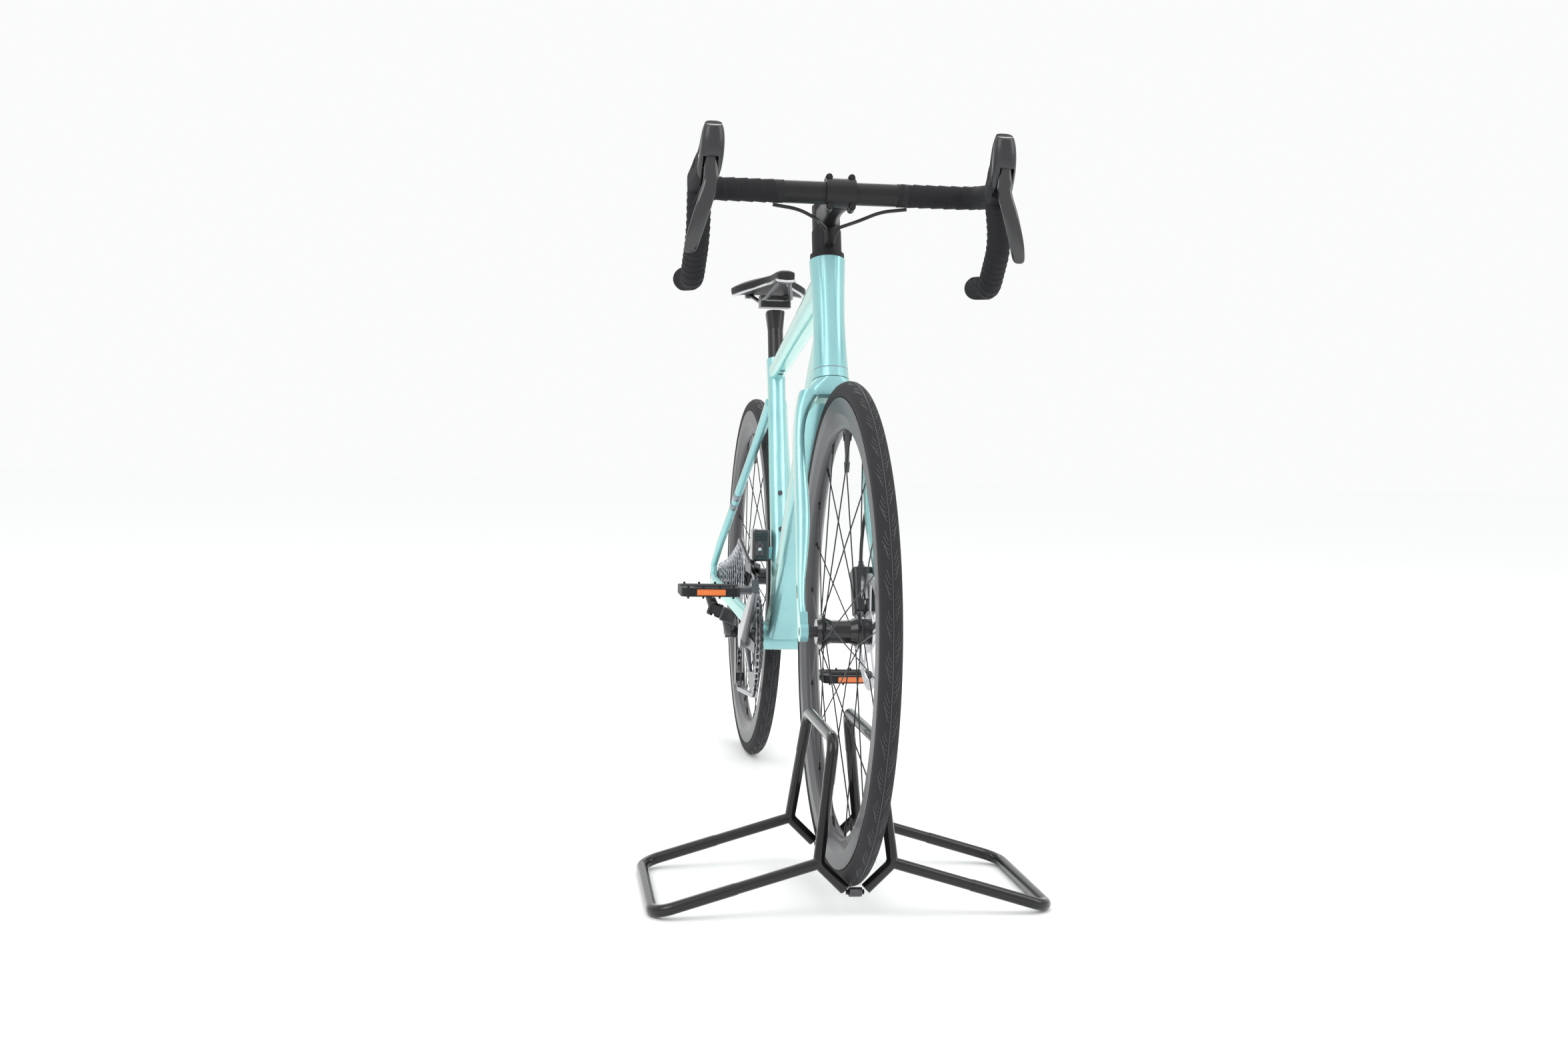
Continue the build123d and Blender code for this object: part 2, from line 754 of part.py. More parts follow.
def shift_button(side, start, end):
    """A thin paddle beside the blade, behind its outer edge."""
    pivot = hood_point(side, lever_pivot_ahead, lever_pivot_rise)
    top = pivot + forwards * (-3) + up * start[1] + across * side * start[0]
    low = pivot + forwards * (-1) + up * end[1] + across * side * end[0]
    way = (low - top).normalized()
    flat = Vector(0, way.Y, way.Z).normalized()
    return blended(
        [(top, flat, 4.0, 12, 1.6), (top + (low - top) * 0.5, flat, 5.0, 15, 2), (low, flat, 4.0, 9, 1.6)],
    )


for name, side in (("left", 1), ("right", -1)):
    save(f"brake_lever_{name}", lever(side))
    save(f"shift_button_{name}_front", shift_button(side, (8.5, -24), (21.0, -52)))
    save(f"shift_button_{name}_rear", shift_button(side, (9.0, -55), (19.0, -78)))

# ---- Main frame ----


def head_radius(share):
    """The head tube's hourglass: wide at its ends, narrow at its waist."""
    return head_waist_radius + (head_end_radius - head_waist_radius) * abs(2 * share - 1) ** 1.6


head_points = [(head_tube_length * k / 16, head_radius(k / 16)) for k in range(17)]
head_base = on_steerer(head_tube_from)
head_tube = turned([(0, 0)] + head_points + [(head_tube_length, 0)], head_base, steer_line, across)

down_start = on_steerer(head_tube_from + 52, -4)
down_end = bracket + Vector(0, -6, -1)
down_way = (down_end - down_start).normalized()
top_start = on_steerer(head_tube_to - 34, -6)
top_end = on_seat_tube(seat_tube_length - 24, 2)
top_way = (top_end - top_start).normalized()


def along_line(start, end, share):
    return start + (end - start) * share


def down_tube(thinner):
    w, h = down_tube_width - 2 * thinner, down_tube_height - 2 * thinner
    return blended(
        [
            (down_start, down_way, w - 10, h + 6, 20),
            (along_line(down_start, down_end, 0.2), down_way, w - 4, h, 20),
            (along_line(down_start, down_end, 0.75), down_way, w, h - 4, 17),
            (along_line(down_start, down_end, 0.97), down_way, w + 4, h - 14, 14),
        ]
    )


def top_tube(thinner):
    w, h = top_tube_width - 2 * thinner, top_tube_height - 2 * thinner
    return blended(
        [
            (top_start, top_way, w + 2, h + 10, 18),
            (along_line(top_start, top_end, 0.2), top_way, w - 1, h, 15),
            (along_line(top_start, top_end, 0.65), top_way, w - 8, h - 10, 11),
            (top_end, top_way, w - 12, h - 12, 11),
        ]
    )


seat_tube = blended(
    [
        (on_seat_tube(8), seat_line, 46, 42, 12),
        (on_seat_tube(70), seat_line, 34, 40, 13),
        (on_seat_tube(160), seat_line, seat_tube_width, seat_tube_depth, 14),
        (on_seat_tube(seat_tube_length - 60), seat_line, seat_tube_width, seat_tube_depth, 14.5),
        (on_seat_tube(seat_tube_length), seat_line, seat_tube_width + 3, seat_tube_depth + 2, 15.5),
    ]
)
shell = rod(bracket - across * shell_width / 2, bracket + across * shell_width / 2, shell_radius)
stay_x = rear_hub_width / 2 + dropout_thickness / 2


def seat_stay(side):
    """A dropped stay: straight from the seat tube, turning upright above the dropout."""
    top = on_seat_tube(415, -6, side * 9)
    elbow = Vector(side * stay_x, rear_y - 8, wheel_radius + 30)
    way = (elbow - top).normalized()
    low = rear_axle + Vector(side * stay_x, -2, 4)
    stations = [
        (top, Vector(0, way.Y, way.Z).normalized(), stay_width + 4, stay_depth + 8, 8),
        (along_line(top, elbow, 0.25), Vector(0, way.Y, way.Z).normalized(), stay_width, stay_depth, 7),
        (along_line(top, elbow, 0.88), Vector(0, way.Y, way.Z).normalized(), stay_width - 2, stay_depth, 6.5),
        (along_line(elbow, low, 0.3), Vector(0, 0.15, -1).normalized(), dropout_thickness + 1, stay_depth, 5),
        (low, Vector(0, 0.1, -1).normalized(), dropout_thickness, 20, 5),
    ]
    return blended(stations, ruled=True)


def chain_stay(side):
    """A stay that passes between tyre and chainrings, then spreads to the dropout."""
    spots = [(26, 14, -2), (29, 62, 4), (37, 112, 12), (60, 250, 40), (stay_x, 372, 61), (stay_x, 398, 68)]
    sizes = [(16, 40), (14, 38), (15, 32), (14, 25), (12, 23), (dropout_thickness, 22)]
    stations = []
    way = Vector(0, rear_axle.Y - bracket.Y, rear_axle.Z - bracket.Z).normalized()
    for (x, along, rise), (sx, sy) in zip(spots, sizes):
        stations.append((bracket + Vector(side * x, along, rise), way, sx, sy, min(sx, sy) * 0.4))
    return blended(stations, ruled=True)


def dropout(side):
    inner = rear_axle + across * side * rear_hub_width / 2
    return rod(inner, inner + across * side * dropout_thickness, 14)


boss_spots = [on_seat_tube(boss_first), on_seat_tube(boss_first + boss_spacing)]
boss_face = seat_tube_depth / 2
down_side = Vector(0, down_way.Z, -down_way.Y)
down_side = down_side if down_side.Z > 0 else down_side * -1
down_boss_half = boss_spacing / 2 / (down_end - down_start).length
down_boss_at = [0.56 - down_boss_half, 0.56 + down_boss_half]
down_boss_rise = down_side * (down_tube_height / 2 - 2)
down_boss_spots = [along_line(down_start, down_end, s) + down_boss_rise for s in down_boss_at]

frame = head_tube + down_tube(0) + top_tube(0) + seat_tube + shell
for side in (1, -1):
    frame += seat_stay(side)
    frame += chain_stay(side)
    frame += dropout(side)

# the derailleur mount on the seat tube and the rear brake's seat on the left chainstay
mech_y = bracket_y + 36.0
mech_low = bracket_z + 125.0
frame += Pos(-17, mech_y + 4, mech_low + 14) * Box(10, 16, 20)

hollow = down_tube(frame_wall) + top_tube(frame_wall)
hollow -= rod(on_steerer(head_tube_from - 5), on_steerer(head_tube_to + 5), head_waist_radius + 1)
hollow -= rod(bracket - across * 60, bracket + across * 60, shell_radius - 0.5)
hollow -= rod(on_seat_tube(40), on_seat_tube(seat_tube_length + 20), post_radius + frame_wall + 1)
frame -= hollow
for spot in down_boss_spots:
    frame += rod(spot + down_side * 1.2, spot - down_side * 12, 5.5)
    frame -= rod(spot + down_side * 12, spot - down_side * boss_depth, boss_bore)
forward_of_seat = Vector(0, -seat_line.Z, seat_line.Y)
for spot in boss_spots:
    frame -= rod(spot + forward_of_seat * 30, spot + forward_of_seat * (boss_face - 9), boss_bore)

post_bore = post_radius + running_gap
frame -= rod(on_seat_tube(60), on_seat_tube(seat_tube_length + 40), post_bore)
frame -= rod(on_steerer(head_tube_from - 2), on_steerer(head_tube_to + 2), steerer_radius + 4)
frame -= rod(
    on_steerer(head_tube_from - 2),
    on_steerer(lower_bearing_at + bearing_height / 2),
    lower_bearing_radius,
)
frame -= rod(
    on_steerer(upper_bearing_at - bearing_height / 2),
    on_steerer(head_tube_to + 2),
    upper_bearing_radius,
)
frame -= rod(bracket - across * 60, bracket + across * 60, cup_radius - 2)
frame -= rod(rear_axle - across * 120, rear_axle + across * 120, axle_radius)
wheel_room = Plane(origin=rear_axle, x_dir=(0, 1, 0), z_dir=across) * Cylinder(
    wheel_radius + 6, 2 * (tyre_radius + 5)
)
frame -= wheel_room

wedge_spots = [along_line(top_start, top_end, s) for s in (0.855, 0.9)]
under_top = Vector(0, top_way.Z, -top_way.Y)
under_top = under_top if under_top.Z < 0 else under_top * -1
top_under_face = (top_tube_height - 11) / 2
for spot in wedge_spots:
    frame -= rod(spot + under_top * (top_under_face + 20), spot + under_top * (top_under_face - 3), 4.5)
save("frame", frame)

hardware = []
for spot in wedge_spots:
    hardware.append(
        rod(spot + under_top * (top_under_face - 3), spot + under_top * (top_under_face + 0.5), 4.4)
    )
for spot in boss_spots:
    hardware.append(rod(spot + forward_of_seat * boss_face, spot + forward_of_seat * (boss_face + 2.6), 4.2))
save("frame_bolts", hardware)

cups = []
for side in (1, -1):
    face = bracket + across * side * shell_width / 2
    cups.append(
        ring(
            face + across * side * cup_width / 2,
            across,
            cup_radius,
            spindle_radius + running_gap,
            cup_width,
        ),
    )
    cups.append(ring(face - across * side * 5, across, cup_radius - 2, spindle_radius + running_gap, 10))
save("frame_bearings", bearings + cups)

# ---- Crankset ----


def pitch_radius(teeth):
    return pitch / (2 * sin(pi / teeth))


def tip_radius(teeth):
    return pitch_radius(teeth) + 2.4


def toothed(teeth, centre_x, centre, thickness, bore, turn=0.0):
    """A chain wheel: rounded roots and blunt teeth around a bored disc."""
    root = pitch_radius(teeth) - 3.7
    tip = tip_radius(teeth)
    step = 2 * pi / teeth
    outline = []
    for k in range(teeth):
        a = k * step + turn
        for share, radius in ((-0.27, root), (-0.12, tip), (0.12, tip), (0.27, root)):
            outline.append((radius * cos(a + share * step), radius * sin(a + share * step)))
    plane = Plane(origin=Vector(centre_x - thickness / 2, centre.Y, centre.Z), x_dir=(0, 1, 0), z_dir=across)
    face = make_face(Polyline(*outline, close=True)) - Circle(bore)
    return extrude(plane * face, thickness)


inner_ring_x = ring_x + ring_spacing
outer_ring = toothed(ring_teeth, ring_x, bracket, 2.2, 62)
inner_ring = toothed(inner_ring_teeth, inner_ring_x, bracket, 2.0, 50)
ring_bolts = []
ring_arm_turn = radians(crank_angle) + pi / 4
for k in range(4):
    a = ring_arm_turn + k * pi / 2
    spot = bracket + Vector(ring_x, -56 * cos(a), 56 * sin(a))
    ring_bolts.append(spot)
save("chainrings", [outer_ring, inner_ring])

crank_way = Vector(0, -cos(radians(crank_angle)), sin(radians(crank_angle)))


def crank_arm(side):
    """One arm, from its boss on the spindle to its pedal eye."""
    sign = 1 if side > 0 else -1
    way = crank_way * -sign
    middle_x = sign * (crank_inner_x + crank_thickness / 2)
    start = bracket + across * middle_x
    end = start + way * crank_length + across * sign * 1.5
    stations = [
        (start - way * 15, way, crank_thickness, 34, 6),
        (start + way * 20, way, crank_thickness, 36, 6),
        (start + way * 95, way, crank_thickness - 2, 30, 5),
        (end + way * 14, way, crank_thickness - 3, 26, 5.5),
    ]
    arm = blended(stations)
    arm += rod(start - across * crank_thickness / 2, start + across * crank_thickness / 2, 21)
    return arm, end


right_arm, right_end = crank_arm(-1)
left_arm, left_end = crank_arm(1)
spider_x = ring_x - 1.6 - 2.4
for spot in ring_bolts:
    way = Vector(0, spot.Y - bracket.Y, spot.Z - bracket.Z).normalized()
    root = (Vector(-crank_inner_x - 1, bracket.Y, bracket.Z) + way * 14, way, 12, 30, 4)
    tip = (Vector(spider_x + 0.6, spot.Y, spot.Z) + way * 6, way, 4.6, 20, 2)
    right_arm += blended([root, tip])
shell_half = shell_width / 2


def crank_axle(from_x, to_x, radius):
    """A rod on the crank axis between two distances along X."""
    return rod(bracket + across * from_x, bracket + across * to_x, radius)


spindle = crank_axle(-crank_inner_x - 4, crank_inner_x + crank_thickness - 2, spindle_radius)
dust_ring = crank_axle(-crank_inner_x - 1, -shell_half - cup_width - 0.6, 16)
right_arm += spindle + dust_ring
left_bore = crank_axle(crank_inner_x - 20, crank_inner_x + 60, spindle_radius)
left_ring = crank_axle(crank_inner_x + 1, shell_half + cup_width + 0.6, 16)
left_arm = left_arm + left_ring - left_bore
end_cap_x = crank_inner_x + crank_thickness - 2
end_cap = crank_axle(end_cap_x, end_cap_x + 3, 11.5)

pedal_axle_radius = 4.0


def pedal_axle(end, side):
    start = Vector(side * (crank_inner_x + 2), end.Y, end.Z)
    shoulder = Vector(side * (pedal_start - 0.6), end.Y, end.Z)
    tip = Vector(side * (pedal_start + pedal_width - 12), end.Y, end.Z)
    return rod(start, shoulder, 7.0) + rod(shoulder, tip, pedal_axle_radius)


eye = pedal_axle(right_end, -1)
right_arm -= rod(Vector(-200, right_end.Y, right_end.Z), Vector(0, right_end.Y, right_end.Z), 7.0)
left_arm -= rod(Vector(200, left_end.Y, left_end.Z), Vector(0, left_end.Y, left_end.Z), 7.0)
save("crank_right", [right_arm, eye])
save("crank_left", [left_arm, end_cap, pedal_axle(left_end, 1)])


def pedal(end, side):
    """A platform cage around its barrel, with grip pins on both faces."""
    mid = Vector(side * (pedal_start + pedal_width / 2), end.Y, end.Z)
    plan = RectangleRounded(pedal_width, pedal_length, 12)
    for across_side in (1, -1):
        plan -= Pos(-4 * side, across_side * 24) * RectangleRounded(pedal_width - 34, 22, 6)
    cage = Pos(0, 0, -pedal_height / 2 + 3) * extrude(plan, pedal_height - 6)
    barrel = Rot(0, 90, 0) * Cylinder(10, pedal_width - 4)
    body = cage + barrel
    for px in (-36, -12, 14, 36):
        for py in (-38, 38):
            body += Pos(px, py, 0) * Cylinder(pin_radius, pedal_height + 2 * pin_height - 6)
    body = Pos(mid.X, mid.Y, mid.Z) * body
    hole_start = Vector(side * (pedal_start - 5), end.Y, end.Z)
    hole_end = Vector(side * (pedal_start + pedal_width - 11.5), end.Y, end.Z)
    body -= rod(hole_start, hole_end, pedal_axle_radius + running_gap)
    reflectors = []
    for py in (-1, 1):
        face = Pos(mid.X, mid.Y + py * (pedal_length / 2 + 1.0), mid.Z) * Box(44, 2.0, 9)
        reflectors.append(face)
    return [body] + reflectors


save("pedal_right", pedal(right_end, -1))
save("pedal_left", pedal(left_end, 1))

# ---- Cassette ----

cogs = []
freehub_start = rear_flange_right - 8.6
freehub_end = cog_x - cog_spacing * 11 - 0.2
for k, teeth in enumerate(cog_teeth):
    bore = 17.0
    disc = toothed(teeth, cog_x - cog_spacing * k, rear_axle, cog_thickness, bore, turn=k * 0.11)
    if teeth > 20:
        span = tip_radius(teeth)
        for arm in range(6):
            a = arm * pi / 3 + k * 0.3
            middle_r = (span - 11 + 24) / 2
            hole = Pos(
                cog_x - cog_spacing * k,
                rear_axle.Y + middle_r * cos(a),
                rear_axle.Z + middle_r * sin(a),
            )
            disc -= hole * Rot(0, 90, 0) * Cylinder((span - 11 - 24) / 2 * 0.8, 6)
    cogs.append(disc)
freehub = turned(
    [
        (freehub_start, sleeve_radius + running_gap),
        (freehub_start, 17.0),
        (freehub_end, 17.0),
        (freehub_end, sleeve_radius + running_gap),
    ],
    rear_axle,
)
collars = []
for k in range(11):
    collars.append(
        ring(
            rear_axle + across * (cog_x - cog_spacing * (k + 0.5)),
            across,
            19.0,
            17.0,
            cog_spacing - cog_thickness,
        ),
    )
lock = ring(rear_axle + across * (freehub_end - 1.5), across, 17.0, 10.5, 2.6)
save("cassette", cogs + [freehub, lock] + collars)

# ---- Rear derailleur ----

hanger_hole = Vector(0, rear_y + 9, wheel_radius - 29)
hanger_x = -rear_hub_width / 2 - 3.0
guide = Vector(0, rear_y - 29, wheel_radius - 104)
cage_length = 86.0
cage_lean = 9.5
tension = guide + Vector(0, -cage_length * sin(radians(cage_lean)), -cage_length * cos(radians(cage_lean)))
chain_slope = (cog_x - ring_x) / (rear_y - bracket_y)
pulley_x = cog_x - chain_slope * 35.0
plate_gap = 6.6
pulley_bore = 3.0
shift_slant = 20.0
link_length = 40.0
link_swing = 30.0
link_spread = 15.0
slide_way = Vector(cos(radians(shift_slant)), 0, -sin(radians(shift_slant)))
link_axis = Vector(sin(radians(shift_slant)), 0, cos(radians(shift_slant)))
link_way = Vector(0, -1, 0) * cos(radians(link_swing)) + slide_way * sin(radians(link_swing))
body_pivot = Vector(-79.0, rear_y - 6, wheel_radius - 62)
knuckle_pivot = body_pivot + link_way * link_length
inner_shift = slide_way * link_spread
pin = 2.5

hanger_plate = blended(
    [
        (rear_axle + across * (hanger_x - 0.5) + Vector(0, 0, -6), up * -1, 7, 22, 3),
        (hanger_hole + across * (hanger_x - 0.5) + Vector(0, 0, -8), up * -1, 7, 18, 3),
    ]
)
hanger_plate -= rod(rear_axle - across * 200, rear_axle, 14.2)
hanger_plate -= rod(hanger_hole - across * 200, hanger_hole, 5.0 + running_gap)
hanger_plate -= frame
save("rear_hanger", hanger_plate)

b_bolt_x = hanger_x + 3.4
b_body = rod(hanger_hole + across * b_bolt_x, hanger_hole + across * (hanger_x - 5.5), 5.0)
b_body += rod(hanger_hole + across * (hanger_x - 4.6), hanger_hole + across * (hanger_x - 20), 11)
arm_low = body_pivot + inner_shift * 0.5 - link_axis * 2
arm_high = hanger_hole + across * (hanger_x - 12.5)
hanger_room = Pos(hanger_x - 0.5, hanger_hole.Y, hanger_hole.Z + 10) * Box(8, 40, 46)
hanger_room -= rod(hanger_hole - across * 200, hanger_hole, 5.0)
b_body += blended(
    [
        (arm_high, (arm_low - arm_high).normalized(), 15, 20, 6),
        (arm_low + Vector(0, 17, 3), Vector(0, -0.6, -0.8), 20, 18, 6),
    ]
)
b_body -= hanger_room
lug_height = 9.0
for shift in (Vector(0, 0, 0), inner_shift):
    spot = body_pivot + shift
    b_body += rod(spot + Vector(0, 11, 0) - link_axis * 12, spot + Vector(0, 11, 0) + link_axis * 12, 6.0)
    for end in (1, -1):
        b_body += rod(spot + link_axis * end * lug_height, spot + link_axis * end * (lug_height + 4), 5.2)
        tie = (spot + link_axis * end * (lug_height + 2)) + Vector(0, 6, 0)
        b_body += box_at(tie, 8, 13, 4, slide_way, link_axis)
    b_body += rod(spot - link_axis * (lug_height + 4), spot + link_axis * (lug_height + 4), pin)


def link(pivot):
    """One parallelogram link, bored at both ends."""
    end = pivot + link_way * link_length
    middle = (pivot + end) * 0.5
    bar = Plane(origin=middle, x_dir=link_way, z_dir=link_axis) * Box(link_length, 6.0, 2 * lug_height - 1.0)
    for spot in (pivot, end):
        bar += rod(spot - link_axis * (lug_height - 0.5), spot + link_axis * (lug_height - 0.5), 4.6)
    for spot in (pivot, end):
        bar -= rod(spot - link_axis * 30, spot + link_axis * 30, pin + running_gap)
    return bar


save("rear_mech_body", b_body)
save("rear_mech_link_outer", link(body_pivot))
save("rear_mech_link_inner", link(body_pivot + inner_shift))

knuckle = None
for shift in (Vector(0, 0, 0), inner_shift):
    spot = knuckle_pivot + shift
    for end in (1, -1):
        lug = rod(spot + link_axis * end * lug_height, spot + link_axis * end * (lug_height + 4), 5.2)
        tie = (spot + link_axis * end * (lug_height + 2)) - Vector(0, 7, 0)
        lug += box_at(tie, 8, 14, 4, slide_way, link_axis)
        knuckle = lug if knuckle is None else knuckle + lug
    open_pin = pin if shift.length < 1 else pin - 0.25
    knuckle += rod(spot - link_axis * (lug_height + 4), spot + link_axis * (lug_height + 4), open_pin)
knuckle_mid = knuckle_pivot + inner_shift * 0.5 - Vector(0, 16, 0)
knuckle += box_at(knuckle_mid, link_spread + 14, 14, 2 * lug_height + 8, slide_way, link_axis, 3)
motor_foot = Vector(pulley_x - plate_gap - 14, guide.Y, guide.Z)
knuckle += blended(
    [
        (knuckle_mid - up * 4, Vector(0, 0, -1), 26, 12, 4),
        (along_line(knuckle_mid, motor_foot, 0.6) - Vector(0, 7, 2), Vector(0, 0.3, -0.95), 22, 18, 6),
        (Vector(motor_foot.X - 1, guide.Y - 3, guide.Z + 1), Vector(0, 0.6, -0.8), 20, 22, 7),
    ]
)
cage_face = pulley_x - plate_gap - 1.8
knuckle += rod(Vector(cage_face - 0.5, guide.Y, guide.Z), Vector(cage_face - 20, guide.Y, guide.Z), 12)
knuckle -= rod(
    Vector(cage_face + 5, guide.Y, guide.Z), Vector(cage_face - 14, guide.Y, guide.Z), 5.0 + running_gap
)
save("rear_mech_knuckle", knuckle)


def cage_plate(x, thickness):
    way = (tension - guide).normalized()
    plate = blended(
        [
            (Vector(x, guide.Y, guide.Z) - way * 15, way, thickness, 20, thickness * 0.3),
            (Vector(x, guide.Y, guide.Z) + way * 30, way, thickness, 26, thickness * 0.3),
            (Vector(x, tension.Y, tension.Z) + way * 14, way, thickness, 24, thickness * 0.3),
        ]
    )
    return plate


outer_plate = cage_plate(pulley_x - plate_gap - 0.9, 1.8)
inner_plate = cage_plate(pulley_x + plate_gap + 0.9, 1.8)
cage = outer_plate + inner_plate
for spot in (guide, tension):
    bolt = Vector(pulley_x, spot.Y, spot.Z)
    cage += rod(bolt - across * (plate_gap + 1.8), bolt + across * (plate_gap + 1.8), pulley_bore)
cage += rod(Vector(cage_face, guide.Y, guide.Z), Vector(cage_face - 13, guide.Y, guide.Z), 5.0)
save("rear_mech_cage", cage)


def pulley(spot):
    wheel_disc = toothed(pulley_teeth, pulley_x, spot, 2.2, pulley_bore + running_gap)
    centre = Vector(pulley_x, spot.Y, spot.Z)
    return wheel_disc + ring(centre, across, 8.0, pulley_bore + running_gap, 2 * plate_gap - 1.0)


save("guide_pulley", pulley(guide))
save("tension_pulley", pulley(tension))

# ---- Chain: one closed band that runs over the teeth ----


def common_tangent(a, ra, b, rb, side_a, side_b):
    """Where a straight run leaves circle a and meets circle b; side +1 keeps a circle on its left."""
    dy, dz = b[0] - a[0], b[1] - a[1]
    distance = hypot(dy, dz)
    lean = asin((side_b * rb - side_a * ra) / distance)
    run = atan2(dz, dy) - lean
    start = (a[0] + side_a * ra * sin(run), a[1] - side_a * ra * cos(run))
    end = (b[0] + side_b * rb * sin(run), b[1] - side_b * rb * cos(run))
    return start, end


def chain_loop(stations, offset):
    """A closed wire of arcs and runs round (centre, radius, side) circles."""
    edges = []
    contacts = []
    count = len(stations)
    for k in range(count):
        (ca, ra, sa), (cb, rb, sb) = stations[k], stations[(k + 1) % count]
        contacts.append(common_tangent(ca, ra + sa * offset, cb, rb + sb * offset, sa, sb))
    for k in range(count):
        centre, radius, side = stations[k]
        radius += side * offset
        arrive, leave = contacts[k - 1][1], contacts[k][0]
        a0 = atan2(arrive[1] - centre[1], arrive[0] - centre[0])
        a1 = atan2(leave[1] - centre[1], leave[0] - centre[0])
        sweep_angle = (a1 - a0) % (2 * pi) if side > 0 else -((a0 - a1) % (2 * pi))
        mid = (centre[0] + radius * cos(a0 + sweep_angle / 2), centre[1] + radius * sin(a0 + sweep_angle / 2))
        edges.append(ThreePointArc(arrive, mid, leave))
        edges.append(Line(leave, contacts[k][1]))
    return Wire(edges)


lift = 2.4 + chain_gap + chain_height / 2
circles = [
    ((rear_axle.Y, rear_axle.Z), pitch_radius(cog_teeth[0]) + lift, 1),
    ((bracket.Y, bracket.Z), pitch_radius(ring_teeth) + lift, 1),
    ((tension.Y, tension.Z), pitch_radius(pulley_teeth) + lift, 1),
    ((guide.Y, guide.Z), pitch_radius(pulley_teeth) + lift, -1),
]
outer_loop = chain_loop(circles, chain_height / 2)
inner_loop = chain_loop(circles, -chain_height / 2)
chain_face = Face(outer_loop) - Face(inner_loop)
chain_plane = Plane(origin=(ring_x, bracket_y, 0), x_dir=(chain_slope, 1, 0), z_dir=(1, -chain_slope, 0))
shifted = Location((-bracket_y, 0, 0))
chain = extrude(chain_plane * (shifted * chain_face), chain_width / 2, both=True)
save("chain", chain)

# ---- Front derailleur ----

swing_x = -44.0
swing_top = mech_low + 24.0
swing_length = 20.0
mech_back = mech_y + 20.0
mech_body = Pos(-35.5, mech_y, mech_low + 27) * fillet(Box(29, 38, 54).edges(), 4)
mech_body += rod(Vector(swing_x, mech_back - 4, swing_top), Vector(swing_x, mech_back + 8, swing_top), pin)
mech_body -= Pos(-17, mech_y + 4, mech_low + 14) * Box(10.2, 16.2, 20.2)
save("front_mech_body", mech_body)
link_y = mech_back + 3.2
swing_low = swing_top - swing_length
arm_plate = Pos(swing_x, link_y, swing_top - swing_length / 2) * Box(9, 5.0, swing_length)
for level in (swing_top, swing_top - swing_length):
    arm_plate += Pos(swing_x, link_y, level) * Rot(90, 0, 0) * Cylinder(5.0, 5.0)
for level in (swing_top, swing_top - swing_length):
    arm_plate -= Pos(swing_x, link_y, level) * Rot(90, 0, 0) * Cylinder(pin + running_gap, 20)
save("front_mech_link", arm_plate)
cage_gap = 6.0
cage_wall = 1.5
cage_low = bracket_z + tip_radius(ring_teeth) + 1.6
cage_high = mech_low - 4.0
front_cage = None
for side, drop, room in ((1, 4.0, 1.6), (-1, 0.0, 0.0)):
    x = ring_x + side * (cage_gap + room + cage_wall / 2)
    low = cage_low - drop
    plate = Pos(x, mech_y - 2, (low + cage_high) / 2) * Box(cage_wall, 78, cage_high - low)
    front_cage = plate if front_cage is None else front_cage + plate
front_cage += Pos(ring_x + 0.8, mech_y - 2, cage_high - 0.75) * Box(2 * (cage_gap + cage_wall) + 1.6, 78, 1.5)
ear_y = link_y + 5.0
front_cage += Pos(swing_x, ear_y, (cage_high + swing_low) / 2) * Box(8, 3.6, abs(swing_low - cage_high) + 8)
front_cage += rod(Vector(swing_x, ear_y + 1, swing_low), Vector(swing_x, link_y - 2.5, swing_low), pin)
save("front_mech_cage", front_cage)

# ---- Seatpost and saddle ----

post_top = saddle_height - 16
post_low = seat_tube_length - post_insert
post = rod(on_seat_tube(post_low), on_seat_tube(post_top - 20), post_radius)
post -= rod(on_seat_tube(post_low - 1), on_seat_tube(post_top - 40), post_radius - 2.5)
clamp_at = on_seat_tube(saddle_height)
rail_z = clamp_at.Z
post += blended(
    [
        (on_seat_tube(post_top - 40), seat_line, 2 * post_radius, 2 * post_radius, 13),
        (on_seat_tube(post_top - 8), seat_line, 33, 36, 12),
    ]
)
cradle_low = Pos(0, clamp_at.Y, rail_z - 8) * fillet(
    Box(rail_spacing + 10, 38, 11).edges().filter_by(Axis.Z), 5
)
cradle_high = Pos(0, clamp_at.Y, rail_z + 3.9) * fillet(
    Box(rail_spacing + 10, 34, 7.6).edges().filter_by(Axis.Z), 5
)
for side in (1, -1):
    groove = rod(
        Vector(side * rail_spacing / 2, clamp_at.Y - 40, rail_z),
        Vector(side * rail_spacing / 2, clamp_at.Y + 40, rail_z),
        rail_radius + running_gap,
    )
    cradle_low -= groove
    cradle_high -= groove
save("seatpost", [post + cradle_low, cradle_high])

nose_y = clamp_at.Y - 153.0
tail_y = nose_y + saddle_length
saddle_z = rail_z + 42.0


def saddle_half_width(share):
    """Half the saddle's width from its nose, 0, to its tail, 1."""
    nose = nose_width / 2
    flare = 1 / (1 + 2.718 ** (-(share - 0.66) * 13))
    return nose + (saddle_width / 2 - nose) * flare


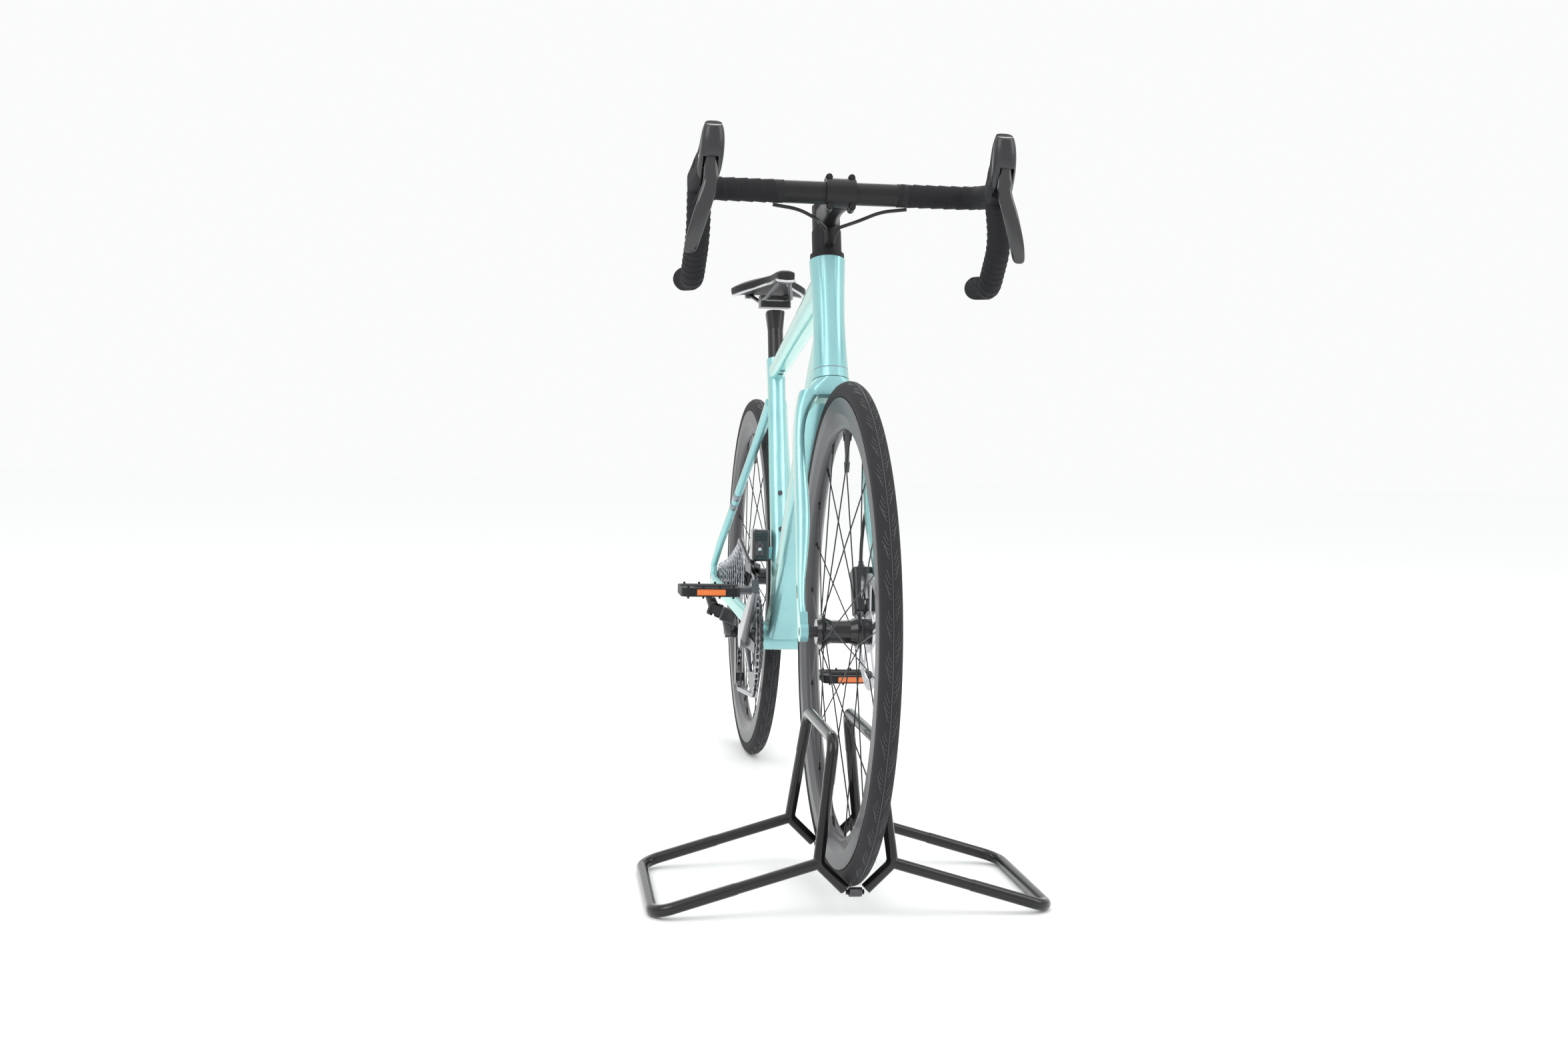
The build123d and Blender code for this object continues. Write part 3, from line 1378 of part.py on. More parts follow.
def saddle_section(share, thickness, drop, narrower):
    half = (saddle_half_width(share) - narrower) * (0.94 if share > 0.97 else 1.0)
    y = nose_y + 6 + (saddle_length - 12) * share
    droop = 14.0 * max(0.0, (half - 20) / 50)
    top = saddle_z - drop + 4.0 * share
    points = [
        (-half, top - droop - 4),
        (-half * 0.55, top - droop * 0.25),
        (0, top - 1.0),
        (half * 0.55, top - droop * 0.25),
        (half, top - droop - 4),
    ]
    low = [(x * 0.96, z - thickness) for x, z in reversed(points)]
    plane = Plane(origin=(0, y, 0), x_dir=across, z_dir=(0, -1, 0))
    edge_top = Spline(*[(x, z) for x, z in points])
    edge_low = Spline(*[(x, z) for x, z in low])
    outline = make_face([edge_top, Line(points[-1], low[0]), edge_low, Line(low[-1], points[0])])
    return plane * outline


pad = loft([saddle_section(s, 12, 0, 0).face() for s in (0.0, 0.25, 0.5, 0.7, 0.85, 1.0)])
shell_skin = loft([saddle_section(s, 3.0, 12.3, 2).face() for s in (0.02, 0.25, 0.5, 0.7, 0.85, 0.98)])
save("saddle_pad", pad)
rails = []
for side in (1, -1):
    rail_points = [
        Vector(side * 9, nose_y + 34, saddle_z - 21),
        Vector(side * rail_spacing / 2, clamp_at.Y - 52, rail_z),
        Vector(side * rail_spacing / 2, clamp_at.Y + 38, rail_z),
        Vector(side * 34, tail_y - 24, saddle_z - 26),
    ]
    rails.append(bent_tube(rail_points, rail_radius, [26, 22]))
nose_block = Pos(0, nose_y + 28, saddle_z - 19) * fillet(Box(26, 22, 9).edges(), 2.5)
tail_block = fillet(Box(16, 20, 12).edges(), 3)
tail_blocks = [Pos(side * 34, tail_y - 20, saddle_z - 26) * tail_block for side in (1, -1)]
base = [shell_skin + nose_block + tail_blocks[0] + tail_blocks[1]] + rails
save("saddle_base", base)

# ---- Hoses ----


def hose(points):
    radii = bend_radii(points)
    print("hose bends", [round(r, 1) for r in radii])
    return bent_tube(points, hose_radius, radii)


hoses = []
for side in (1, -1):
    hoses.append(
        hose(
            [
                at_bar(side * (bar_bare_half + 14), 2, -19.2),
                at_bar(side * 58, 2, -24),
                at_bar(side * 30, -8, -36),
                on_steerer(head_tube_to + cover_height + 24, 44, side * 9),
                on_steerer(head_tube_to + cover_height + 12, 32, side * 5),
                on_steerer(head_tube_to + cover_height + 6, 17, side * 5),
            ]
        )
    )
leg_spot = front_axle + across * front_rotor_x
leg_out = front_leg.cross(across) * -1
leg_out = leg_out if leg_out.Y > 0 else leg_out * -1
hoses.append(
    hose(
        [
            leg_spot + front_leg * 114.3 + leg_out * 32,
            leg_spot + front_leg * 140 + leg_out * 31 + across * 2,
            leg_spot + front_leg * 170 + leg_out * 26 + across * 6,
            leg_spot + front_leg * 196 + leg_out * 12 + across * 11,
        ]
    )
)
save("brake_hoses", hoses)
stay_up = rear_leg.cross(across) * -1
stay_up = stay_up if stay_up.Z > 0 else stay_up * -1
rear_spot = rear_axle + across * rear_rotor_x
rear_hose = hose(
    [
        rear_spot + rear_leg * 112.3 + stay_up * 31,
        rear_spot + rear_leg * 134 + stay_up * 29 - across * 3,
        rear_spot + rear_leg * 158 + stay_up * 20 - across * 6,
        rear_spot + rear_leg * 178 + stay_up * 6 - across * 9,
    ]
)
save("rear_brake_hose", rear_hose)
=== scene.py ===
import bmesh
import bpy
import json
import math
import random
from mathutils import Matrix, Vector


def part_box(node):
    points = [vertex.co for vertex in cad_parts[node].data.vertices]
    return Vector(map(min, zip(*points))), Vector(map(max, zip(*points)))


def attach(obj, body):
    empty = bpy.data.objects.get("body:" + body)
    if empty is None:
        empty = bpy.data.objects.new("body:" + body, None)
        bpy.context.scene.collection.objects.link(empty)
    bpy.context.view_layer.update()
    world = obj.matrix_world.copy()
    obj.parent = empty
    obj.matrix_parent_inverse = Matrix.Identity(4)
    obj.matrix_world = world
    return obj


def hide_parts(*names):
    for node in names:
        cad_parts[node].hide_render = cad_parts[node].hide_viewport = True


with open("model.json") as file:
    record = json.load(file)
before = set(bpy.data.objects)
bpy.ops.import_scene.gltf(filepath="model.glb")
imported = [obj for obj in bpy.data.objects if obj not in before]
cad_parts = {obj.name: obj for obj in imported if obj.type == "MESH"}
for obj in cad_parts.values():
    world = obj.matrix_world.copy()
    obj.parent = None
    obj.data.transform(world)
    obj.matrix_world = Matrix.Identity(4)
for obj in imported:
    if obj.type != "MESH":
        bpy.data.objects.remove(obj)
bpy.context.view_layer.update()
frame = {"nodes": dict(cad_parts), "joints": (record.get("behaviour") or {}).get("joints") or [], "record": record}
jointPlace = {j["name"]: Vector(j["pos_m"]) for j in frame["joints"] if "pos_m" in j}
slotColour = {m["slot"]: m["base_color"][:3] for m in frame["record"]["materials"]}
nodeSlot = {s["node"]: s["material_slot"] for s in frame["record"]["subparts"]}
random.seed(7)

# the bicycle stands a little nose up, because the stand lifts its front wheel
rearAxle = jointPlace["rear_wheel_spin"]
frontAxle = jointPlace["front_wheel_spin"]
crankCentre = jointPlace["crank_spin"]
noseUp = math.atan2(frontAxle.z - rearAxle.z, rearAxle.y - frontAxle.y)
levelToRow = Matrix.Translation(rearAxle) @ Matrix.Rotation(-noseUp, 4, "X")


# ---- camera, floor, light ----

cameraSetup = {
    "place": (-0.4192, -2.8693, 0.6448),
    "yaw": -8.048,  # degrees, turned from straight along +Y
    "pitch": 3.367,  # degrees below level
    "roll": 1.244,
    "lens": 40.70,
}


def makeCamera(setup):
    yaw, pitch, roll = (math.radians(setup[k]) for k in ("yaw", "pitch", "roll"))
    ahead = Vector((-math.sin(yaw) * math.cos(pitch), math.cos(yaw) * math.cos(pitch), -math.sin(pitch)))
    right = ahead.cross(Vector((0, 0, 1))).normalized()
    above = right.cross(ahead)
    rolledRight = right * math.cos(roll) + above * math.sin(roll)
    rolledUp = above * math.cos(roll) - right * math.sin(roll)
    data = bpy.data.cameras.new("camera")
    data.lens = setup["lens"]
    data.sensor_width = 36
    camera = bpy.data.objects.new("camera", data)
    turn = Matrix((rolledRight, rolledUp, -ahead)).transposed().to_4x4()
    camera.matrix_world = Matrix.Translation(setup["place"]) @ turn
    bpy.context.scene.collection.objects.link(camera)
    bpy.context.scene.camera = camera


makeCamera(cameraSetup)

studio = {
    "floorSize": 30.0,
    "floorColour": (0.985, 0.99, 0.99),
    "skyColour": (0.98, 0.985, 0.985),
    "skyStrength": 0.98,
    # place, size across and along, watts, aimed at
    "lamps": [
        ((-2.6, -2.4, 3.2), (2.6, 2.6), 60, (0, -0.1, 0.5)),
        ((2.8, -1.6, 2.6), (2.0, 2.6), 40, (0, 0, 0.5)),
        ((0.0, 2.8, 3.0), (3.0, 1.5), 30, (0, 0, 0.6)),
        ((0.2, -0.3, 3.6), (2.4, 3.2), 20, (0, 0, 0)),
    ],
}


def makeStudio(setup):
    world = bpy.data.worlds.new("studio")
    world.use_nodes = True
    background = world.node_tree.nodes["Background"]
    background.inputs["Color"].default_value = (*setup["skyColour"], 1)
    background.inputs["Strength"].default_value = setup["skyStrength"]
    bpy.context.scene.world = world
    for n, (place, (wide, long), power, aim) in enumerate(setup["lamps"]):
        data = bpy.data.lights.new(f"softbox{n}", "AREA")
        data.shape = "RECTANGLE"
        data.size = wide
        data.size_y = long
        data.energy = power
        lamp = bpy.data.objects.new(f"softbox{n}", data)
        lamp.location = place
        lamp.rotation_euler = (Vector(aim) - Vector(place)).to_track_quat("-Z", "Y").to_euler()
        bpy.context.scene.collection.objects.link(lamp)
    half = setup["floorSize"] / 2
    mesh = bpy.data.meshes.new("floor")
    mesh.from_pydata([(-half, -half, 0), (half, -half, 0), (half, half, 0), (-half, half, 0)], [], [(0, 1, 2, 3)])
    floor = bpy.data.objects.new("floor", mesh)
    material = bpy.data.materials.new("floor")
    material.use_nodes = True
    shader = material.node_tree.nodes["Principled BSDF"]
    shader.inputs["Base Color"].default_value = (*setup["floorColour"], 1)
    shader.inputs["Roughness"].default_value = 1.0
    shader.inputs["Specular IOR Level"].default_value = 0.0
    mesh.materials.append(material)
    bpy.context.scene.collection.objects.link(floor)


bpy.context.scene.view_settings.view_transform = "Standard"
makeStudio(studio)
print("camera, floor and light are in place")

# ---- materials ----
# metal: how metallic; rough: roughness; coat: lacquer; grain: size of the variation, per metre;
# mottle: how far the colour varies; wear: how far the roughness varies; bump: relief in metres; tint: the second colour

finishes = {
    "frame_paint": dict(colour=(0.26, 0.53, 0.62), gleam=(0.88, 1.0, 0.84), metal=0.55, rough=0.30, coat=0.8, grain=900, mottle=0.10, wear=0.06, bump=0.00003, tint=(0.40, 0.68, 0.68)),
    "paint_band": dict(metal=0.45, rough=0.34, coat=0.8, grain=900, mottle=0.10, wear=0.06, bump=0.00002),
    "rim_dark": dict(colour=(0.045, 0.045, 0.049), metal=0.25, rough=0.42, coat=0.15, grain=260, mottle=0.12, wear=0.10, bump=0.00003),
    "tyre_grey": dict(colour=(0.024, 0.024, 0.026), spec=0.20, metal=0.0, rough=0.78, grain=700, mottle=0.22, wear=0.10, bump=0.00012),
    "spoke_black": dict(colour=(0.02, 0.02, 0.022), metal=0.6, rough=0.38, grain=600, mottle=0.15, wear=0.10, bump=0.00001),
    "nipple_black": dict(metal=0.7, rough=0.32, grain=600, mottle=0.15, wear=0.10, bump=0.00001),
    "hub_black": dict(colour=(0.015, 0.015, 0.017), metal=0.5, rough=0.20, coat=0.4, grain=300, mottle=0.12, wear=0.06, bump=0.00001),
    "rotor_steel": dict(metal=1.0, rough=0.30, grain=420, mottle=0.10, wear=0.16, bump=0.00002, stretch=(1, 1, 1)),
    "dark_metal": dict(colour=(0.035, 0.035, 0.038), metal=0.6, rough=0.38, coat=0.2, grain=420, mottle=0.18, wear=0.10, bump=0.00004),
    "axle_black": dict(metal=0.7, rough=0.34, grain=420, mottle=0.14, wear=0.10, bump=0.00002),
    # gaps: first cog, spacing and thickness, for the painted shade between the cogs
    "cassette_steel": dict(gaps=(-0.026, 0.0036, 0.0017), metal=1.0, rough=0.26, grain=380, mottle=0.12, wear=0.14, bump=0.00002),
    "chain_steel": dict(metal=1.0, rough=0.30, grain=600, mottle=0.22, wear=0.16, bump=0.00002),
    "ring_dark": dict(colour=(0.13, 0.13, 0.14), metal=0.9, rough=0.34, grain=420, mottle=0.14, wear=0.12, bump=0.00002),
    "crank_grey": dict(colour=(0.1, 0.104, 0.115), metal=0.75, rough=0.24, coat=0.5, grain=300, mottle=0.12, wear=0.06, bump=0.00001),
    "black_plastic": dict(colour=(0.014, 0.014, 0.016), spec=0.22, metal=0.0, rough=0.52, grain=520, mottle=0.22, wear=0.10, bump=0.00004),
    "gloss_black": dict(metal=0.0, rough=0.14, coat=0.6, grain=300, mottle=0.18, wear=0.05, bump=0.00001),
    "pulley_black": dict(metal=0.0, rough=0.46, grain=520, mottle=0.22, wear=0.10, bump=0.00003),
    "pedal_black": dict(colour=(0.016, 0.016, 0.018), spec=0.22, metal=0.0, rough=0.50, grain=620, mottle=0.22, wear=0.12, bump=0.00006),
    "bar_black": dict(colour=(0.014, 0.014, 0.015), spec=0.35, metal=0.30, rough=0.36, grain=420, mottle=0.14, wear=0.08, bump=0.00002),
    "tape_grey": dict(colour=(0.015, 0.015, 0.017), spec=0.20, metal=0.0, rough=0.74, grain=900, mottle=0.25, wear=0.10, bump=0.00014),
    "hood_grey": dict(colour=(0.016, 0.016, 0.018), spec=0.20, metal=0.0, rough=0.66, grain=900, mottle=0.18, wear=0.10, bump=0.00006),
    "lever_black": dict(colour=(0.012, 0.012, 0.014), metal=0.15, rough=0.16, coat=0.7, grain=300, mottle=0.15, wear=0.05, bump=0.00001),
    "hose_black": dict(colour=(0.014, 0.014, 0.014), spec=0.32, metal=0.0, rough=0.40, grain=520, mottle=0.18, wear=0.08, bump=0.00002),
    "bearing_steel": dict(metal=1.0, rough=0.30, grain=520, mottle=0.14, wear=0.12, bump=0.00002),
    "bolt_black": dict(metal=0.85, rough=0.30, grain=520, mottle=0.18, wear=0.12, bump=0.00002),
    "post_black": dict(colour=(0.012, 0.012, 0.013), spec=0.35, metal=0.10, rough=0.32, coat=0.2, grain=420, mottle=0.16, wear=0.08, bump=0.00002),
    "saddle_black": dict(colour=(0.015, 0.015, 0.016), spec=0.20, metal=0.0, rough=0.56, grain=1300, mottle=0.22, wear=0.12, bump=0.00016),
    "saddle_rail": dict(metal=0.8, rough=0.32, grain=420, mottle=0.14, wear=0.10, bump=0.00002),
    "saddle_edge": dict(colour=(0.55, 0.56, 0.57), metal=0.1, rough=0.22, coat=0.5, grain=420, mottle=0.06, wear=0.06, bump=0.00001),
    "stand_black": dict(colour=(0.007, 0.007, 0.008), spec=0.35, metal=0.15, rough=0.20, coat=0.35, grain=260, mottle=0.16, wear=0.07, bump=0.00003),
    "spring_steel": dict(metal=0.8, rough=0.30, grain=520, mottle=0.16, wear=0.12, bump=0.00002),
    "reflector_orange": dict(colour=(0.78, 0.17, 0.015), metal=0.0, rough=0.18, coat=0.8, grain=700, mottle=0.16, wear=0.06, bump=0.00012),
    "bright_metal": dict(metal=1.0, rough=0.16, grain=420, mottle=0.08, wear=0.08, bump=0.00001),
    "mech_blue": dict(metal=0.7, rough=0.28, coat=0.4, grain=520, mottle=0.12, wear=0.08, bump=0.00001),
}


def paintGapShade(tree, place, ramp, shader, gaps):
    # painted shade: the base colour turns dark in the gaps between cogs that repeat along X, where shade falls
    start, spacing, thick = gaps
    apart = tree.nodes.new("ShaderNodeSeparateXYZ")
    tree.links.new(place.outputs["Object"], apart.inputs["Vector"])
    shifted = tree.nodes.new("ShaderNodeMath")
    shifted.operation = "SUBTRACT"
    shifted.inputs[1].default_value = start - thick / 2 - 0.0002
    tree.links.new(apart.outputs["X"], shifted.inputs[0])
    turn = tree.nodes.new("ShaderNodeMath")
    turn.operation = "FLOORED_MODULO"
    turn.inputs[1].default_value = spacing
    tree.links.new(shifted.outputs["Value"], turn.inputs[0])
    gap = tree.nodes.new("ShaderNodeMath")
    gap.operation = "GREATER_THAN"
    gap.inputs[1].default_value = thick + 0.0004
    tree.links.new(turn.outputs["Value"], gap.inputs[0])
    # the dark painted shade colour goes into the gaps between the cogs
    gapShade = tree.nodes.new("ShaderNodeMix")
    gapShade.data_type = "RGBA"
    gapShade.inputs[7].default_value = (0.02, 0.02, 0.022, 1)
    tree.links.new(gap.outputs["Value"], gapShade.inputs[0])
    tree.links.new(ramp.outputs["Color"], gapShade.inputs[6])
    tree.links.new(gapShade.outputs[2], shader.inputs["Base Color"])


def makeFinish(name, look):
    material = bpy.data.materials.new(name)
    material.use_nodes = True
    tree = material.node_tree
    shader = tree.nodes["Principled BSDF"]
    shader.inputs["Metallic"].default_value = look["metal"]
    shader.inputs["Coat Weight"].default_value = look.get("coat", 0.0)
    shader.inputs["Coat Roughness"].default_value = 0.08
    shader.inputs["Specular IOR Level"].default_value = look.get("spec", 0.5)
    if "gleam" in look:
        shader.inputs["Specular Tint"].default_value = (*look["gleam"], 1)
        shader.inputs["Coat Tint"].default_value = (*(0.5 + c / 2 for c in look["gleam"]), 1)
    place = tree.nodes.new("ShaderNodeTexCoord")
    fine = tree.nodes.new("ShaderNodeTexNoise")
    fine.inputs["Scale"].default_value = look["grain"]
    fine.inputs["Detail"].default_value = 4
    tree.links.new(place.outputs["Object"], fine.inputs["Vector"])
    broad = tree.nodes.new("ShaderNodeTexNoise")
    broad.inputs["Scale"].default_value = 9
    broad.inputs["Detail"].default_value = 3
    tree.links.new(place.outputs["Object"], broad.inputs["Vector"])
    both = tree.nodes.new("ShaderNodeMix")
    both.inputs["Factor"].default_value = 0.45
    tree.links.new(fine.outputs["Fac"], both.inputs["A"])
    tree.links.new(broad.outputs["Fac"], both.inputs["B"])
    colour = Vector(look.get("colour", slotColour[name]))
    second = Vector(look["tint"]) if "tint" in look else colour
    ramp = tree.nodes.new("ShaderNodeValToRGB")
    low, high = ramp.color_ramp.elements
    low.position, high.position = 0.3, 0.7
    low.color = (*(colour * (1 - look["mottle"])), 1)
    lighter = colour.lerp(second, 0.5) * (1 + look["mottle"])
    high.color = (*(min(c, 1.0) for c in lighter), 1)
    tree.links.new(both.outputs["Result"], ramp.inputs["Fac"])
    tree.links.new(ramp.outputs["Color"], shader.inputs["Base Color"])
    # painted shade between the cogs
    if "gaps" in look:
        paintGapShade(tree, place, ramp, shader, look["gaps"])
    roughness = tree.nodes.new("ShaderNodeMapRange")
    roughness.inputs["To Min"].default_value = max(0.02, look["rough"] - look["wear"] / 2)
    roughness.inputs["To Max"].default_value = look["rough"] + look["wear"] / 2
    tree.links.new(both.outputs["Result"], roughness.inputs["Value"])
    tree.links.new(roughness.outputs["Result"], shader.inputs["Roughness"])
    relief = tree.nodes.new("ShaderNodeBump")
    relief.inputs["Distance"].default_value = look["bump"]
    relief.inputs["Strength"].default_value = 1.0
    tree.links.new(fine.outputs["Fac"], relief.inputs["Height"])
    tree.links.new(relief.outputs["Normal"], shader.inputs["Normal"])
    return material


materials = {name: makeFinish(name, look) for name, look in finishes.items()}
for nodeName, node in frame["nodes"].items():
    node.data.materials.clear()
    node.data.materials.append(materials[nodeSlot[nodeName]])
print("materials are on")
# ---- making meshes ----


def shadeSmooth(mesh, crease=38):
    mesh.shade_smooth()
    mesh.set_sharp_from_angle(angle=math.radians(crease))


def finishPiece(name, points, faces, slotName, body, hides=(), crease=38):
    mesh = bpy.data.meshes.new(name)
    mesh.from_pydata([tuple(p) for p in points], [], faces)
    mesh.validate()
    mesh.update()
    shadeSmooth(mesh, crease)
    mesh.materials.append(materials[slotName])
    piece = bpy.data.objects.new(name, mesh)
    bpy.context.scene.collection.objects.link(piece)
    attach(piece, body)
    if hides:
        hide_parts(*hides)
    return piece


def joinRings(rings, capped=True, looped=False):
    # rings of the same count become one skin; looped joins the last ring to the first
    points = [p for ring in rings for p in ring]
    around = len(rings[0])
    faces = []
    last = len(rings) if looped else len(rings) - 1
    for r in range(last):
        low, high = r * around, (r + 1) % len(rings) * around
        for k in range(around):
            n = (k + 1) % around
            faces.append((low + k, low + n, high + n, high + k))
    if capped and not looped:
        faces.append(tuple(reversed(range(around))))
        start = (len(rings) - 1) * around
        faces.append(tuple(range(start, start + around)))
    return points, faces


def mergeParts(parts):
    points, faces = [], []
    for partPoints, partFaces in parts:
        start = len(points)
        points += partPoints
        faces += [tuple(start + i for i in face) for face in partFaces]
    return points, faces


def roundedPath(corners, bends, step):
    # straight runs and arcs, cut into steps of about one length
    path = [corners[0]]
    for k in range(1, len(corners) - 1):
        before, corner, after = corners[k - 1], corners[k], corners[k + 1]
        into, out = (corner - before).normalized(), (after - corner).normalized()
        turn = into.angle(out)
        if turn < 0.01:
            path.append(corner)
            continue
        reach = bends[k - 1] * math.tan(turn / 2)
        start = corner - into * reach
        inwards = (out - into).normalized()
        centre = corner + inwards * (bends[k - 1] / math.cos(turn / 2))
        axis = into.cross(out).normalized()
        count = max(3, int(bends[k - 1] * turn / step))
        for n in range(count + 1):
            spin = Matrix.Rotation(turn * n / count, 3, axis)
            path.append(centre + spin @ (start - centre))
    path.append(corners[-1])
    even = [path[0]]
    for a, b in zip(path, path[1:]):
        run = (b - a).length
        pieces = max(1, int(run / step))
        even += [a.lerp(b, n / pieces) for n in range(1, pieces + 1)]
    return even


def tubeRings(path, radius, sides=20, up=Vector((0, 0, 1))):
    # radius is a length, or a function of the way along and the angle
    rings = []
    travelled = 0.0
    side = None
    for k, spot in enumerate(path):
        ahead = (path[min(k + 1, len(path) - 1)] - path[max(k - 1, 0)]).normalized()
        if side is None:
            side = ahead.cross(up).normalized()
        side = (side - ahead * side.dot(ahead)).normalized()
        other = ahead.cross(side)
        if k:
            travelled += (spot - path[k - 1]).length
        ring = []
        for n in range(sides):
            angle = 2 * math.pi * n / sides
            r = radius(travelled, angle) if callable(radius) else radius
            ring.append(spot + side * (r * math.cos(angle)) + other * (r * math.sin(angle)))
        rings.append(ring)
    return rings


def tubePart(path, radius, sides=20, up=Vector((0, 0, 1))):
    return joinRings(tubeRings(path, radius, sides, up))


def wheelPoint(centre, x, radius, angle):
    return centre + Vector((x, radius * math.sin(angle), radius * math.cos(angle)))


def turnedPart(centre, outline, sides=96, start=0.0, closed=True):
    # outline is (along X, radius); it is turned about X
    rings = []
    for n in range(sides):
        angle = start + 2 * math.pi * n / sides
        rings.append([wheelPoint(centre, x, r, angle) for x, r in outline])
    return joinRings(rings, capped=False, looped=True)


def rodPart(start, end, radius, sides=16, endRadius=None):
    ahead = (end - start).normalized()
    up = Vector((0, 0, 1)) if abs(ahead.z) < 0.9 else Vector((0, 1, 0))
    edge = min(radius * 0.18, (end - start).length * 0.3)
    last = radius if endRadius is None else endRadius
    stations = [(start, radius - edge), (start + ahead * edge, radius), (end - ahead * edge, last), (end, last - edge)]
    rings = []
    side = ahead.cross(up).normalized()
    other = ahead.cross(side)
    for spot, r in stations:
        rings.append([
            spot + side * (r * math.cos(2 * math.pi * n / sides)) + other * (r * math.sin(2 * math.pi * n / sides))
            for n in range(sides)
        ])
    return joinRings(rings)


def boxPart(centre, size, turn=None, edge=0.0008):
    # a box with its edges taken off, turned by a 3x3 matrix if one is given
    turn = turn or Matrix.Identity(3)
    hx, hy, hz = (s / 2 for s in size)
    rings = []
    for z, inset in ((-hz, edge), (-hz + edge, 0), (hz - edge, 0), (hz, edge)):
        x, y = hx - inset, hy - inset
        ring = [(x - edge, -y), (x, -y + edge), (x, y - edge), (x - edge, y), (-x + edge, y), (-x, y - edge), (-x, -y + edge), (-x + edge, -y)]
        rings.append([centre + turn @ Vector((px, py, z)) for px, py in ring])
    return joinRings(rings)


# ---- tyres: tread over the casing ----

tread = {
    "casing": 0.014,  # radius of the casing
    "proud": 0.00035,  # how far the cuts' edges stand out
    "line": 0.0009,  # width of one cut
    "patches": 44,  # leaf patches around one shoulder
    "shoulder": 24,  # degrees from the crown to the middle of a patch
    "reach": 30,  # degrees from a patch's inner edge to its outer edge
}


def treadPoint(centre, wheelRadius, casing, around, lean, lift):
    # around: angle about the axle; lean: angle from the crown
    r = wheelRadius - casing + (casing + lift) * math.cos(lean)
    return wheelPoint(centre, (casing + lift) * math.sin(lean), r, around)


def treadLine(centre, wheelRadius, spots, width, setup):
    # a thin raised strip along (around, lean) spots
    rings = []
    casing, proud = setup["casing"], setup["proud"]
    for k, (around, lean) in enumerate(spots):
        a0, l0 = spots[max(k - 1, 0)]
        a1, l1 = spots[min(k + 1, len(spots) - 1)]
        along = Vector(((a1 - a0) * wheelRadius, (l1 - l0) * casing)).normalized()
        da, dl = -along.y * width / 2 / wheelRadius, along.x * width / 2 / casing
        rings.append([
            treadPoint(centre, wheelRadius, casing, around - da, lean - dl, -0.0005),
            treadPoint(centre, wheelRadius, casing, around - da * 0.7, lean - dl * 0.7, proud),
            treadPoint(centre, wheelRadius, casing, around + da * 0.7, lean + dl * 0.7, proud),
            treadPoint(centre, wheelRadius, casing, around + da, lean + dl, -0.0005),
        ])
    return joinRings(rings)


def makeTread(end, centre, body, setup):
    low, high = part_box(f"{end}_tyre")
    wheelRadius = (high.z - low.z) / 2
    parts = []
    ringSpots = [(2 * math.pi * n / 180, 0.0) for n in range(181)]
    parts.append(treadLine(centre, wheelRadius, ringSpots, setup["line"] * 1.3, setup))
    share = 2 * math.pi / setup["patches"]
    middle, reach = math.radians(setup["shoulder"]), math.radians(setup["reach"])
    for k in range(setup["patches"]):
        for side in (1, -1):
            start = share * (k + (0.0 if side > 0 else 0.5))
            inner, outer = middle - reach * 0.55, middle + reach * 0.6
            for n in range(5):
                # each leaf is a bow of lines that start near the crown and sweep out
                t0 = n / 4
                spots = []
                for s in range(9):
                    t = s / 8
                    lean = inner + (outer - inner) * t * (0.55 + 0.45 * (1 - abs(2 * t0 - 1)))
                    around = start + share * (0.12 + 0.5 * t0 + 0.26 * t * t)
                    spots.append((around, side * lean))
                parts.append(treadLine(centre, wheelRadius, spots, setup["line"], setup))
    points, faces = mergeParts(parts)
    finishPiece(f"{end}_tread", points, faces, "pulley_black", body)


makeTread("front", frontAxle, "front_wheel", tread)
makeTread("rear", rearAxle, "rear_wheel", tread)
print("tyres have their tread")

# ---- handlebar tape: one strip wound up each side ----

barTape = {
    "centre": (0.0, -0.9088, 0.6065),  # bar clamp, from the rear axle, bicycle level
    "halfWidth": 0.205,
    "reach": 0.080,
    "drop": 0.127,
    "flare": 0.007,
    "bare": 0.081,
    "bends": (0.030, 0.034, 0.044, 0.036),
    "radius": 0.0151,
    "step": 0.0016,  # thickness of the strip's edge
    "wind": (0.0180, 0.0102),  # one turn's advance on the top and on the drops
    "windChange": 0.125,
    "bandLength": 0.016,
    "bandRadius": 0.0163,
    "hoodStart": 0.162,  # where the hood covers the strip, from the bare bar
    "hoodEnd": 0.232,
}


def barSpot(x, ahead, rise):
    cx, cy, cz = barTape["centre"]
    return levelToRow @ Vector((cx + x, cy - ahead, cz + rise))


def barCorners(side, start):
    wide, reach, drop = barTape["halfWidth"], barTape["reach"], barTape["drop"]
    return [
        barSpot(side * start, 0, 0),
        barSpot(side * (wide - 0.012), 0.002, 0),
        barSpot(side * wide, reach - 0.002, -0.006),
        barSpot(side * (wide + 0.002), reach + 0.016, -0.074),
        barSpot(side * (wide + 0.004), reach - 0.046, -drop - 0.001),
        barSpot(side * (wide + barTape["flare"]), -0.056, -drop + 0.006),
    ]


